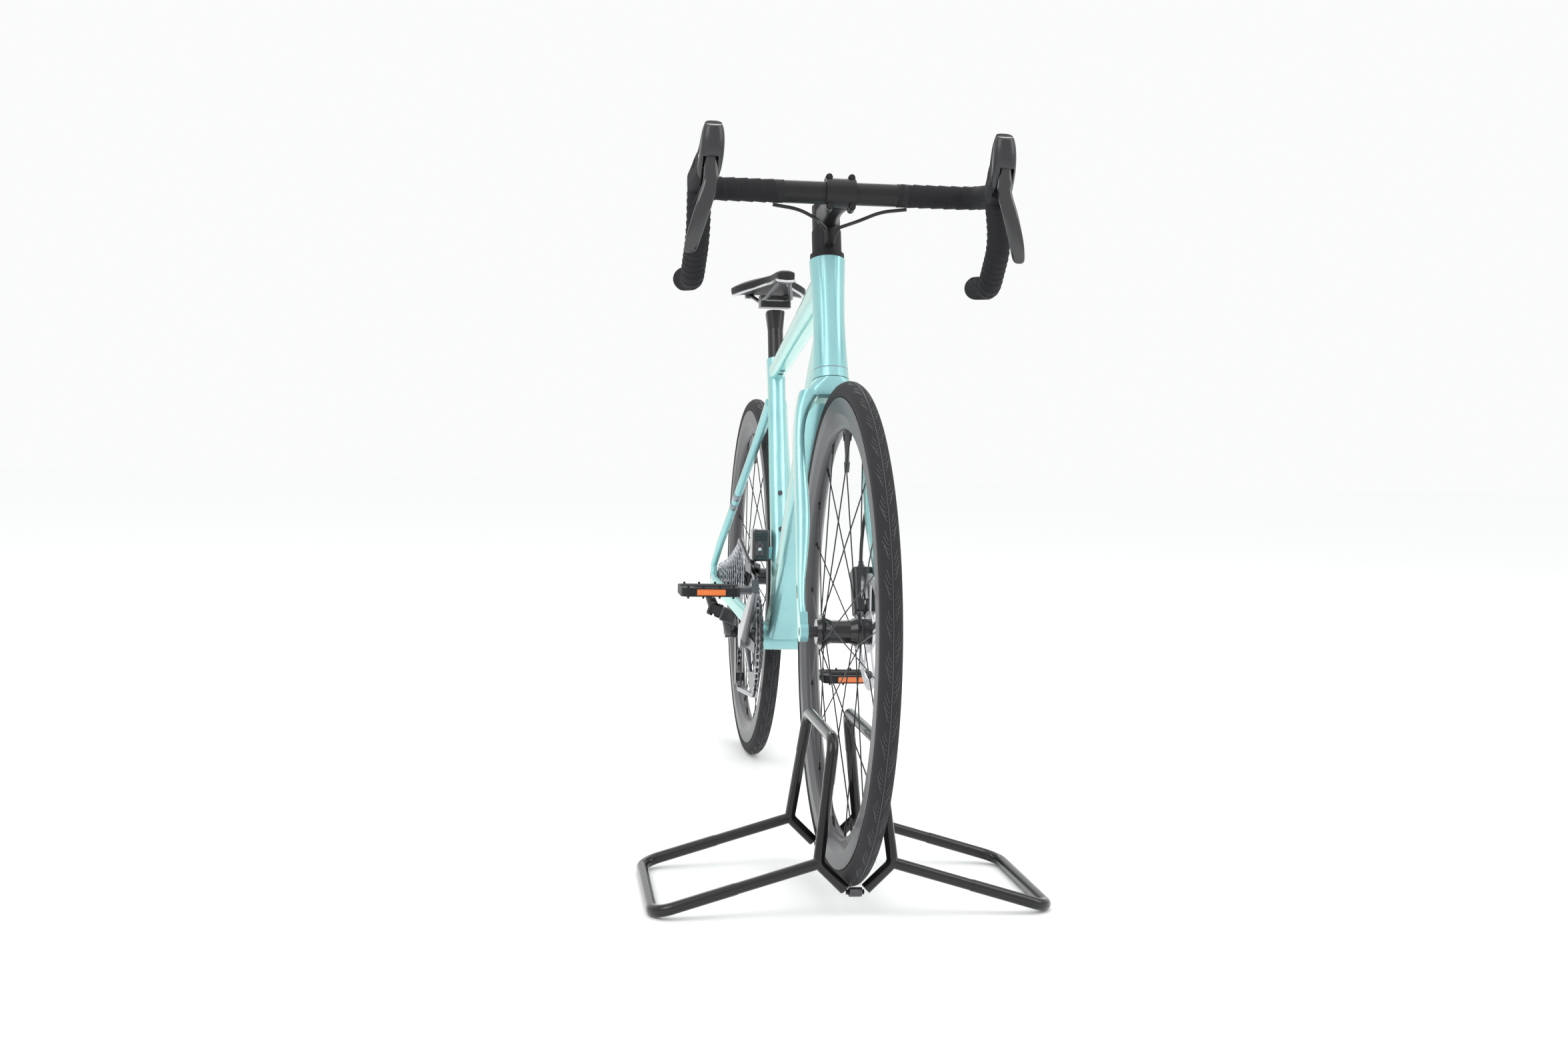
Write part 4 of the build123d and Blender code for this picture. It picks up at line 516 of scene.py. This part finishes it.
def makeTape(setup):
    wraps, bands = [], []
    for side in (1, -1):
        path = roundedPath(barCorners(side, setup["bare"]), setup["bends"], 0.0009)

        def wound(travelled, angle):
            top, low = setup["wind"]
            change = setup["windChange"]
            turns = min(travelled, change) / top + max(0.0, travelled - change) / low
            turn = (turns + side * angle / (2 * math.pi)) % 1.0
            edge = min(1.0, turn / 0.10)
            return setup["radius"] + setup["step"] * (edge * (1 - 0.75 * (turn - 0.1)) if turn > 0.1 else edge)

        wraps.append(tubePart(path, wound, 30))
        band = [p for p in path if (p - path[0]).length < setup["bandLength"]]
        bands.append(tubePart(band, setup["bandRadius"], 30))
        endWay = (path[-1] - path[-2]).normalized()
        bands.append(rodPart(path[-1] - endWay * 0.001, path[-1] + endWay * 0.0048, 0.0162, 30, 0.0140))
        bands.append(rodPart(path[-1] + endWay * 0.004, path[-1] + endWay * 0.0056, 0.0085, 24))
    points, faces = mergeParts(wraps)
    finishPiece("tape_winding", points, faces, "tape_grey", "fork", hides=("bar_tape",), crease=50)
    points, faces = mergeParts(bands)
    finishPiece("tape_bands", points, faces, "black_plastic", "fork")


makeTape(barTape)
print("the bar is taped")

# ---- chain: plates and rollers round the ring, the largest cog and the pulleys ----

drive = {
    "pitch": 0.0127,
    "ringTeeth": 50,
    "cogTeeth": 34,
    "pulleyTeeth": 11,
    "plateHeight": 0.0082,
    "plateWaist": 0.0064,
    "plateThick": 0.0009,
    "innerHalf": 0.0018,  # from the middle to the inner plate's middle
    "outerHalf": 0.0028,
    "roller": 0.0037,
    "rollerHalf": 0.0014,
    "pinHalf": 0.0033,
}


def pitchRadius(teeth):
    return drive["pitch"] / 2 / math.sin(math.pi / teeth)


def tangentRun(a, ra, b, rb, sideA, sideB):
    dy, dz = b[0] - a[0], b[1] - a[1]
    lean = math.asin((sideB * rb - sideA * ra) / math.hypot(dy, dz))
    run = math.atan2(dz, dy) - lean
    start = (a[0] + sideA * ra * math.sin(run), a[1] - sideA * ra * math.cos(run))
    end = (b[0] + sideB * rb * math.sin(run), b[1] - sideB * rb * math.cos(run))
    return start, end


def chainPath():
    # the closed line of the chain's pins, in the row frame
    low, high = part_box("chain")
    ringX = sum(c.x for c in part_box("chainrings")) / 2
    wheels = [
        (rearAxle, pitchRadius(drive["cogTeeth"]), 1),
        (crankCentre, pitchRadius(drive["ringTeeth"]), 1),
        (jointPlace["tension_pulley_spin"], pitchRadius(drive["pulleyTeeth"]), 1),
        (jointPlace["guide_pulley_spin"], pitchRadius(drive["pulleyTeeth"]), -1),
    ]
    spots = [((c.y, c.z), r, s) for c, r, s in wheels]
    count = len(spots)
    runs = [tangentRun(spots[k][0], spots[k][1], spots[(k + 1) % count][0], spots[(k + 1) % count][1], spots[k][2], spots[(k + 1) % count][2]) for k in range(count)]
    line = []
    for k in range(count):
        centre, radius, side = spots[k]
        arrive, leave = runs[k - 1][1], runs[k][0]
        a0 = math.atan2(arrive[1] - centre[1], arrive[0] - centre[0])
        a1 = math.atan2(leave[1] - centre[1], leave[0] - centre[0])
        sweep = (a1 - a0) % (2 * math.pi) if side > 0 else -((a0 - a1) % (2 * math.pi))
        steps = max(4, int(abs(sweep) * radius / 0.001))
        line += [(centre[0] + radius * math.cos(a0 + sweep * n / steps), centre[1] + radius * math.sin(a0 + sweep * n / steps)) for n in range(steps)]
        (sy, sz), (ey, ez) = runs[k]
        steps = max(2, int(math.hypot(ey - sy, ez - sz) / 0.001))
        line += [(sy + (ey - sy) * n / steps, sz + (ez - sz) * n / steps) for n in range(steps)]
    cogX = high.x - 0.0029
    slope = (cogX - ringX) / (rearAxle.y - crankCentre.y)
    return [Vector((chainX(y), y, z)) for y, z in line]


def chainX(y):
    # the chain runs inwards from the ring to the cog in one straight slant
    ringX, cogX = drive["ringX"], drive["cogX"]
    return ringX + (cogX - ringX) * (y - crankCentre.y) / (rearAxle.y - crankCentre.y)


drive["ringX"] = -0.0476
drive["cogX"] = -0.026


def plateOutline(half, waist, length, sides=6):
    # a figure-eight plate about two pins
    spots = []
    for end, start in ((1, -90), (-1, 90)):
        for n in range(sides + 1):
            a = math.radians(start + 180 * n / sides)
            spots.append((end * length / 2 + half * math.cos(a), half * math.sin(a)))
        spots.append((0.0, waist if end > 0 else -waist))
    return spots


def makeChain(setup):
    path = chainPath()
    lengths = [0.0]
    for a, b in zip(path, path[1:] + path[:1]):
        lengths.append(lengths[-1] + (b - a).length)
    total = lengths[-1]
    links = int(round(total / setup["pitch"] / 2)) * 2
    pitch = total / links

    def along(distance):
        distance %= total
        low, high = 0, len(path)
        while high - low > 1:
            mid = (low + high) // 2
            if lengths[mid] <= distance:
                low = mid
            else:
                high = mid
        share = (distance - lengths[low]) / (lengths[low + 1] - lengths[low])
        return path[low].lerp(path[(low + 1) % len(path)], share)

    pins = [along(k * pitch) for k in range(links)]
    plates, rollers = [], []
    outline = plateOutline(setup["plateHeight"] / 2, setup["plateWaist"] / 2, setup["pitch"])
    for k in range(links):
        a, b = pins[k], pins[(k + 1) % links]
        ahead = (b - a).normalized()
        sideways = Vector((1, 0, 0)) - ahead * ahead.x
        sideways.normalize()
        rise = ahead.cross(sideways)
        middle = (a + b) / 2
        out = setup["outerHalf"] if k % 2 else setup["innerHalf"]
        half = setup["plateThick"] / 2
        for way in (1, -1):
            rings = []
            for d, shrink in ((-half, 0.94), (-half * 0.5, 1.0), (half * 0.5, 1.0), (half, 0.94)):
                base = middle + sideways * (way * out + d)
                rings.append([base + ahead * (u * shrink) + rise * (v * shrink) for u, v in outline])
            plates.append(joinRings(rings))
        rollers.append(rodPart(a - sideways * setup["rollerHalf"], a + sideways * setup["rollerHalf"], setup["roller"], 12))
        rollers.append(rodPart(a - sideways * setup["pinHalf"], a + sideways * setup["pinHalf"], 0.0016, 10))
    points, faces = mergeParts(plates)
    finishPiece("chain_plates", points, faces, "chain_steel", "frame", hides=("chain",))
    points, faces = mergeParts(rollers)
    finishPiece("chain_rollers", points, faces, "dark_metal", "frame")


makeChain(drive)
print("the chain is on")

# ---- stand: coil springs between the halves ----

springs = {"wire": 0.0013, "radius": 0.0050, "turns": 9, "core": 0.0032}


def makeSprings(setup):
    low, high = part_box("stand_springs")
    coils, cores = [], []
    for y in (low.y + 0.0063, high.y - 0.0063):
        z = (low.z + high.z) / 2
        length = high.x - low.x
        steps = setup["turns"] * 20
        path = []
        for n in range(steps + 1):
            a = 2 * math.pi * setup["turns"] * n / steps
            path.append(Vector((low.x + length * n / steps, y + setup["radius"] * math.sin(a), z + setup["radius"] * math.cos(a))))
        coils.append(tubePart(path, setup["wire"], 10, Vector((1, 0.2, 0))))
        cores.append(rodPart(Vector((low.x - 0.004, y, z)), Vector((high.x + 0.004, y, z)), setup["core"], 14))
    points, faces = mergeParts(coils)
    finishPiece("spring_coils", points, faces, "spring_steel", "stand_hinge", hides=("stand_springs",))
    points, faces = mergeParts(cores)
    finishPiece("spring_cores", points, faces, "black_plastic", "stand_hinge")


makeSprings(springs)
print("the stand has its springs")

# ---- slices: thin skins cut from a CAD node's surface, for bands, seams and trims ----


def sliceSkin(name, nodeName, low, high, way, keep, lift, thick, slotName, body):
    # the part of a node's skin between two planes across `way`, pushed out by lift
    source = frame["nodes"][nodeName]
    mesh = source.data.copy()
    mesh.name = name
    skin = bmesh.new()
    skin.from_mesh(mesh)
    bmesh.ops.remove_doubles(skin, verts=skin.verts, dist=0.00002)
    way = way.normalized()
    for edge, inner in ((low, True), (high, False)):
        geometry = skin.verts[:] + skin.edges[:] + skin.faces[:]
        bmesh.ops.bisect_plane(
            skin, geom=geometry, plane_co=edge, plane_no=way, clear_inner=inner, clear_outer=not inner
        )
    strays = [face for face in skin.faces if not keep(face.calc_center_median())]
    bmesh.ops.delete(skin, geom=strays, context="FACES")
    bmesh.ops.recalc_face_normals(skin, faces=skin.faces)
    skin.normal_update()
    outside = sum((f.calc_center_median() - skinMiddle(skin)).dot(f.normal) * f.calc_area() for f in skin.faces)
    if outside < 0:
        bmesh.ops.reverse_faces(skin, faces=skin.faces)
        skin.normal_update()
    for vert in skin.verts:
        vert.co += vert.normal * lift
    skin.to_mesh(mesh)
    skin.free()
    mesh.materials.clear()
    mesh.materials.append(materials[slotName])
    piece = bpy.data.objects.new(name, mesh)
    bpy.context.scene.collection.objects.link(piece)
    solid = piece.modifiers.new("thickness", "SOLIDIFY")
    solid.thickness = thick
    solid.offset = -1
    shadeSmooth(mesh, 40)
    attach(piece, body)
    return piece


def skinMiddle(skin):
    total = Vector((0, 0, 0))
    for vert in skin.verts:
        total += vert.co
    return total / max(1, len(skin.verts))


# ---- saddle pad ----

saddle = {
    "nose": -0.3924,  # along the bicycle from the rear axle
    "tail": -0.1244,
    "top": 0.5516,
    "width": 0.141,
    "noseWidth": 0.031,
    "skirt": 0.0120,
    "channel": 0.0035,
    "channelWidth": 0.010,
    "edge": 0.0022,
}


def saddleHalf(share):
    nose = saddle["noseWidth"] / 2
    flare = 1 / (1 + math.exp(-(share - 0.66) * 13))
    half = nose + (saddle["width"] / 2 - nose) * flare
    if share < 0.07:
        half *= math.sqrt(max(0.0, 1 - ((0.07 - share) / 0.07) ** 2)) * 0.75 + 0.25
    if share > 0.90:
        half *= 1 - 0.30 * ((share - 0.90) / 0.10) ** 2.4
    return half


def saddleTop(share, across):
    # height of the pad's skin; across runs from -1 to 1
    half = saddleHalf(share)
    droop = 0.014 * max(0.0, (half - 0.020) / 0.050)
    crown = saddle["top"] - 0.001 + 0.004 * share
    crown -= 0.004 * max(0.0, 1 - share / 0.12) ** 2
    channel = saddle["channel"] * math.exp(-((across * half / saddle["channelWidth"]) ** 2))
    channel *= min(1.0, max(0.0, (share - 0.22) / 0.15)) * min(1.0, max(0.0, (1.0 - share) / 0.1))
    return crown - (droop + 0.004) * abs(across) ** 2.6 - channel


def saddleRings(grow=0.0, drop=0.0, low=None):
    rings = []
    count = 44
    for k in range(count + 1):
        share = k / count
        y = saddle["nose"] + (saddle["tail"] - saddle["nose"]) * share
        half = saddleHalf(share) + grow
        ring = []
        for n in range(29):
            across = -1 + 2 * n / 28
            ring.append(levelToRow @ Vector((half * math.sin(across * math.pi / 2), y, saddleTop(share, math.sin(across * math.pi / 2)) - drop)))
        edge = saddleTop(share, 1)
        skirt = saddle["skirt"] if low is None else low
        for x, z in (
            (half * 1.0, edge - skirt * 0.45 - drop),
            (half * 0.985, edge - skirt * 0.85 - drop),
            (half * 0.95, edge - skirt - drop),
            (half * 0.80, edge - skirt + 0.0012 - drop),
            (-half * 0.80, edge - skirt + 0.0012 - drop),
            (-half * 0.95, edge - skirt - drop),
            (-half * 0.985, edge - skirt * 0.85 - drop),
            (-half * 1.0, edge - skirt * 0.45 - drop),
        ):
            ring.append(levelToRow @ Vector((x, y, z)))
        rings.append(ring)
    return rings


def makeSaddle(setup):
    points, faces = joinRings(saddleRings())
    pad = finishPiece("saddle_pad_skin", points, faces, "saddle_black", "saddle", hides=("saddle_pad",), crease=55)
    # the bright edge runs round under the pad's skirt
    rim = []
    for side in (1, -1):
        for k in range(45):
            share = k / 44 if side > 0 else 1 - k / 44
            y = setup["nose"] + (setup["tail"] - setup["nose"]) * share
            z = saddleTop(share, 1) - setup["skirt"] - 0.0006
            rim.append(levelToRow @ Vector((side * saddleHalf(share) * 0.93, y, z)))
    rings = tubeRings(rim + rim[:1], setup["edge"], 10)
    points, faces = joinRings(rings[:-1], looped=True)
    finishPiece("saddle_edge_trim", points, faces, "saddle_edge", "saddle")


makeSaddle(saddle)
print("the saddle is covered")

# ---- pedals: reflectors ----

pedalTrim = {"reflector": (0.0452, 0.0026, 0.0098), "lens": 9, "plate": (0.080, 0.006, 0.0011)}


def makePedalTrim(setup):
    for side in ("left", "right"):
        low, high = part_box(f"pedal_{side}")
        centre = (low + high) / 2
        turn = levelToRow.to_3x3()
        lenses = []
        for way in (1, -1):
            y = (high.y - low.y) / 2 - 0.0012
            face = centre + turn @ Vector((0, way * y, 0))
            lenses.append(boxPart(face, setup["reflector"], turn))
            # the moulded cells of the lens
            for n in range(setup["lens"]):
                x = (n - (setup["lens"] - 1) / 2) * 0.0047
                lenses.append(boxPart(face + turn @ Vector((x, way * 0.0012, 0)), (0.0036, 0.0008, 0.0074), turn, 0.0003))
        points, faces = mergeParts(lenses)
        finishPiece(f"pedal_{side}_reflectors", points, faces, "reflector_orange", f"pedal_{side}")


makePedalTrim(pedalTrim)
print("the pedals have reflectors")

# ---- painted trims on the frame ----

stayBands = {"places": (0.375, 0.435), "width": 0.0145, "lift": 0.0002}
headSeam = {"above": 0.0135, "height": 0.0014}


def makeBands(setup):
    # two dark bands low on each seat stay
    top = levelToRow @ Vector((0, -0.2880, 0.3200))
    elbow = levelToRow @ Vector((0, -0.0080, 0.0300))
    way = (elbow - top).normalized()
    for side in (1, -1):
        for n, place in enumerate(setup["places"]):
            spot = elbow.lerp(top, place)
            keep = lambda c, side=side: c.x * side > 0.018 and c.y > rearAxle.y - 0.30 and c.z > rearAxle.z + 0.03
            half = way * setup["width"] / 2
            sliceSkin(f"stay_band_{'left' if side > 0 else 'right'}_{n}", "frame", spot - half, spot + half, way, keep, setup["lift"], 0.0006, "paint_band", "frame")


makeBands(stayBands)


def makeSeams(setup):
    steer = next(j for j in frame["joints"] if j["name"] == "steering")
    line = Vector(steer["axis"])
    foot = jointPlace["steering"]
    base = foot + line * 0.374
    keep = lambda c: c.y < base.y + 0.20 and ((c - base) - line * (c - base).dot(line)).length < 0.034
    seam = base + line * setup["above"]
    sliceSkin("head_seam", "frame", seam, seam + line * setup["height"], line, keep, 0.00012, 0.0005, "paint_band", "frame")


makeSeams(headSeam)
print("the frame has its bands and seam")

# ---- hoods: cap seam, ribs and side screw ----

hoodTrim = {"seam": 0.0009, "ribs": 5, "ribGap": 0.0021, "rib": 0.0010, "screw": 0.0034}


def makeHoodTrim(setup):
    ahead = (levelToRow.to_3x3() @ Vector((0, -1, 0))).normalized()
    rise = (levelToRow.to_3x3() @ Vector((0, 0, 1))).normalized()
    for name, side in (("left", 1), ("right", -1)):
        pivot = jointPlace[f"brake_lever_{name}_pull"]
        near = lambda c, side=side: c.x * side > 0
        # the seam between the rubber and the cap in front
        way = (ahead * 0.94 + rise * -0.34).normalized()
        spot = pivot + ahead * 0.004 + rise * 0.020
        sliceSkin(f"hood_seam_{name}", "lever_hoods", spot, spot + way * setup["seam"], way, near, 0.00012, 0.0005, "black_plastic", "fork")
        # the stiff panel below the seam, round the lever
        low = spot + way * (setup["seam"] + 0.0004)
        sliceSkin(f"hood_panel_{name}", "lever_hoods", low, low + way * 0.06, way, near, 0.00030, 0.0008, "dark_metal", "fork")
        # ribs across the top, behind the horn
        for n in range(setup["ribs"]):
            start = pivot - ahead * (0.022 + n * setup["ribGap"])
            top = lambda c, side=side: c.x * side > 0 and c.z > pivot.z + 0.002
            sliceSkin(f"hood_rib_{name}_{n}", "lever_hoods", start - ahead * setup["rib"], start, ahead, top, 0.00045, 0.0010, "hood_grey", "fork")
        low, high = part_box(f"brake_lever_{name}")
        parts = []
        skin = pivot + Vector((side * 0.0155, 0, 0)) + rise * 0.012
        parts.append(rodPart(skin - Vector((side * 0.003, 0, 0)), skin + Vector((side * 0.0006, 0, 0)), setup["screw"], 20))
        points, faces = mergeParts(parts)
        finishPiece(f"hood_screw_{name}", points, faces, "bright_metal", "fork")


makeHoodTrim(hoodTrim)
print("the hoods have their trim")

motor = {"radius": 0.0085, "low": 0.17, "high": 0.62, "screw": 0.0028, "ridge": 0.0012}


def makeMotor(setup):
    # the front derailleur's motor, its screw and the ridges of its cover
    low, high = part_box("front_mech_body")
    low, high = Vector(low), Vector(high)
    size = high - low
    x = low.x + size.x * 0.42
    foot = Vector((x, low.y + setup["radius"] * 0.55, low.z + size.z * setup["low"]))
    head = foot + Vector((0, 0, size.z * (setup["high"] - setup["low"])))
    points, faces = rodPart(foot, head, setup["radius"], 32)
    finishPiece("front_mech_motor", points, faces, "gloss_black", "frame")
    spot = (foot + head) / 2 - Vector((0, setup["radius"], 0))
    points, faces = rodPart(spot + Vector((0, 0.002, 0)), spot - Vector((0, 0.0012, 0)), setup["screw"], 20)
    finishPiece("front_mech_screw", points, faces, "bright_metal", "frame")
    ridges = []
    for n in range(3):
        z = low.z + size.z * (0.70 + n * 0.08)
        ridges.append(boxPart(Vector(((low.x + high.x) / 2, low.y - 0.0003, z)), (size.x * 0.8, 0.0014, setup["ridge"]), edge=0.0003))
    points, faces = mergeParts(ridges)
    finishPiece("front_mech_ridges", points, faces, "dark_metal", "frame")


makeMotor(motor)
print("the front derailleur has its motor")

leverBlade = {
    # ahead, rise and out from the pivot, width, depth
    "stations": [
        (0.0085, 0.0105, 0.0005, 0.0180, 0.0170),
        (0.0095, -0.0050, 0.0005, 0.0185, 0.0150),
        (0.0110, -0.0220, 0.0010, 0.0195, 0.0110),
        (0.0130, -0.0500, 0.0085, 0.0215, 0.0085),
        (0.0085, -0.0840, 0.0185, 0.0205, 0.0075),
        (0.0015, -0.1050, 0.0240, 0.0175, 0.0068),
        (-0.0010, -0.1110, 0.0255, 0.0120, 0.0045),
        (-0.0014, -0.1126, 0.0258, 0.0050, 0.0018),
    ],
    "steps": 6,
    "sides": 32,
}


def throughPoint(before, a, b, after, share):
    # a value on the smooth line through a and b
    return 0.5 * (
        2 * a + (b - before) * share + (2 * before - 5 * a + 4 * b - after) * share ** 2
        + (3 * a - before - 3 * b + after) * share ** 3
    )


def makeLevers(setup):
    ahead = (levelToRow.to_3x3() @ Vector((0, -1, 0))).normalized()
    rise = (levelToRow.to_3x3() @ Vector((0, 0, 1))).normalized()
    stations = setup["stations"]
    rows = []
    for k in range(len(stations) - 1):
        near = [stations[max(k - 1, 0)], stations[k], stations[k + 1], stations[min(k + 2, len(stations) - 1)]]
        for n in range(setup["steps"]):
            rows.append([throughPoint(*(row[i] for row in near), n / setup["steps"]) for i in range(5)])
    rows.append(list(stations[-1]))
    for name, side in (("left", 1), ("right", -1)):
        pivot = jointPlace[f"brake_lever_{name}_pull"]
        rings = []
        for k, (front, up, out, width, depth) in enumerate(rows):
            after, before = rows[min(k + 1, len(rows) - 1)], rows[max(k - 1, 0)]
            way = (ahead * (after[0] - before[0]) + rise * (after[1] - before[1])).normalized()
            face = Vector((1, 0, 0)).cross(way).normalized()
            centre = pivot + ahead * front + rise * up + Vector((side * out, 0, 0))
            ring = []
            for n in range(setup["sides"]):
                angle = 2 * math.pi * n / setup["sides"]
                c, d = math.cos(angle), math.sin(angle)
                across = math.copysign(abs(c) ** 0.72, c) * width / 2
                thick = math.copysign(abs(d) ** 0.72, d) * depth / 2
                ring.append(centre + Vector((across, 0, 0)) + face * thick)
            rings.append(ring)
        points, faces = joinRings(rings)
        finishPiece(f"lever_blade_{name}", points, faces, "lever_black", f"brake_lever_{name}", hides=(f"brake_lever_{name}",), crease=60)


makeLevers(leverBlade)
print("the brake levers have their blades")
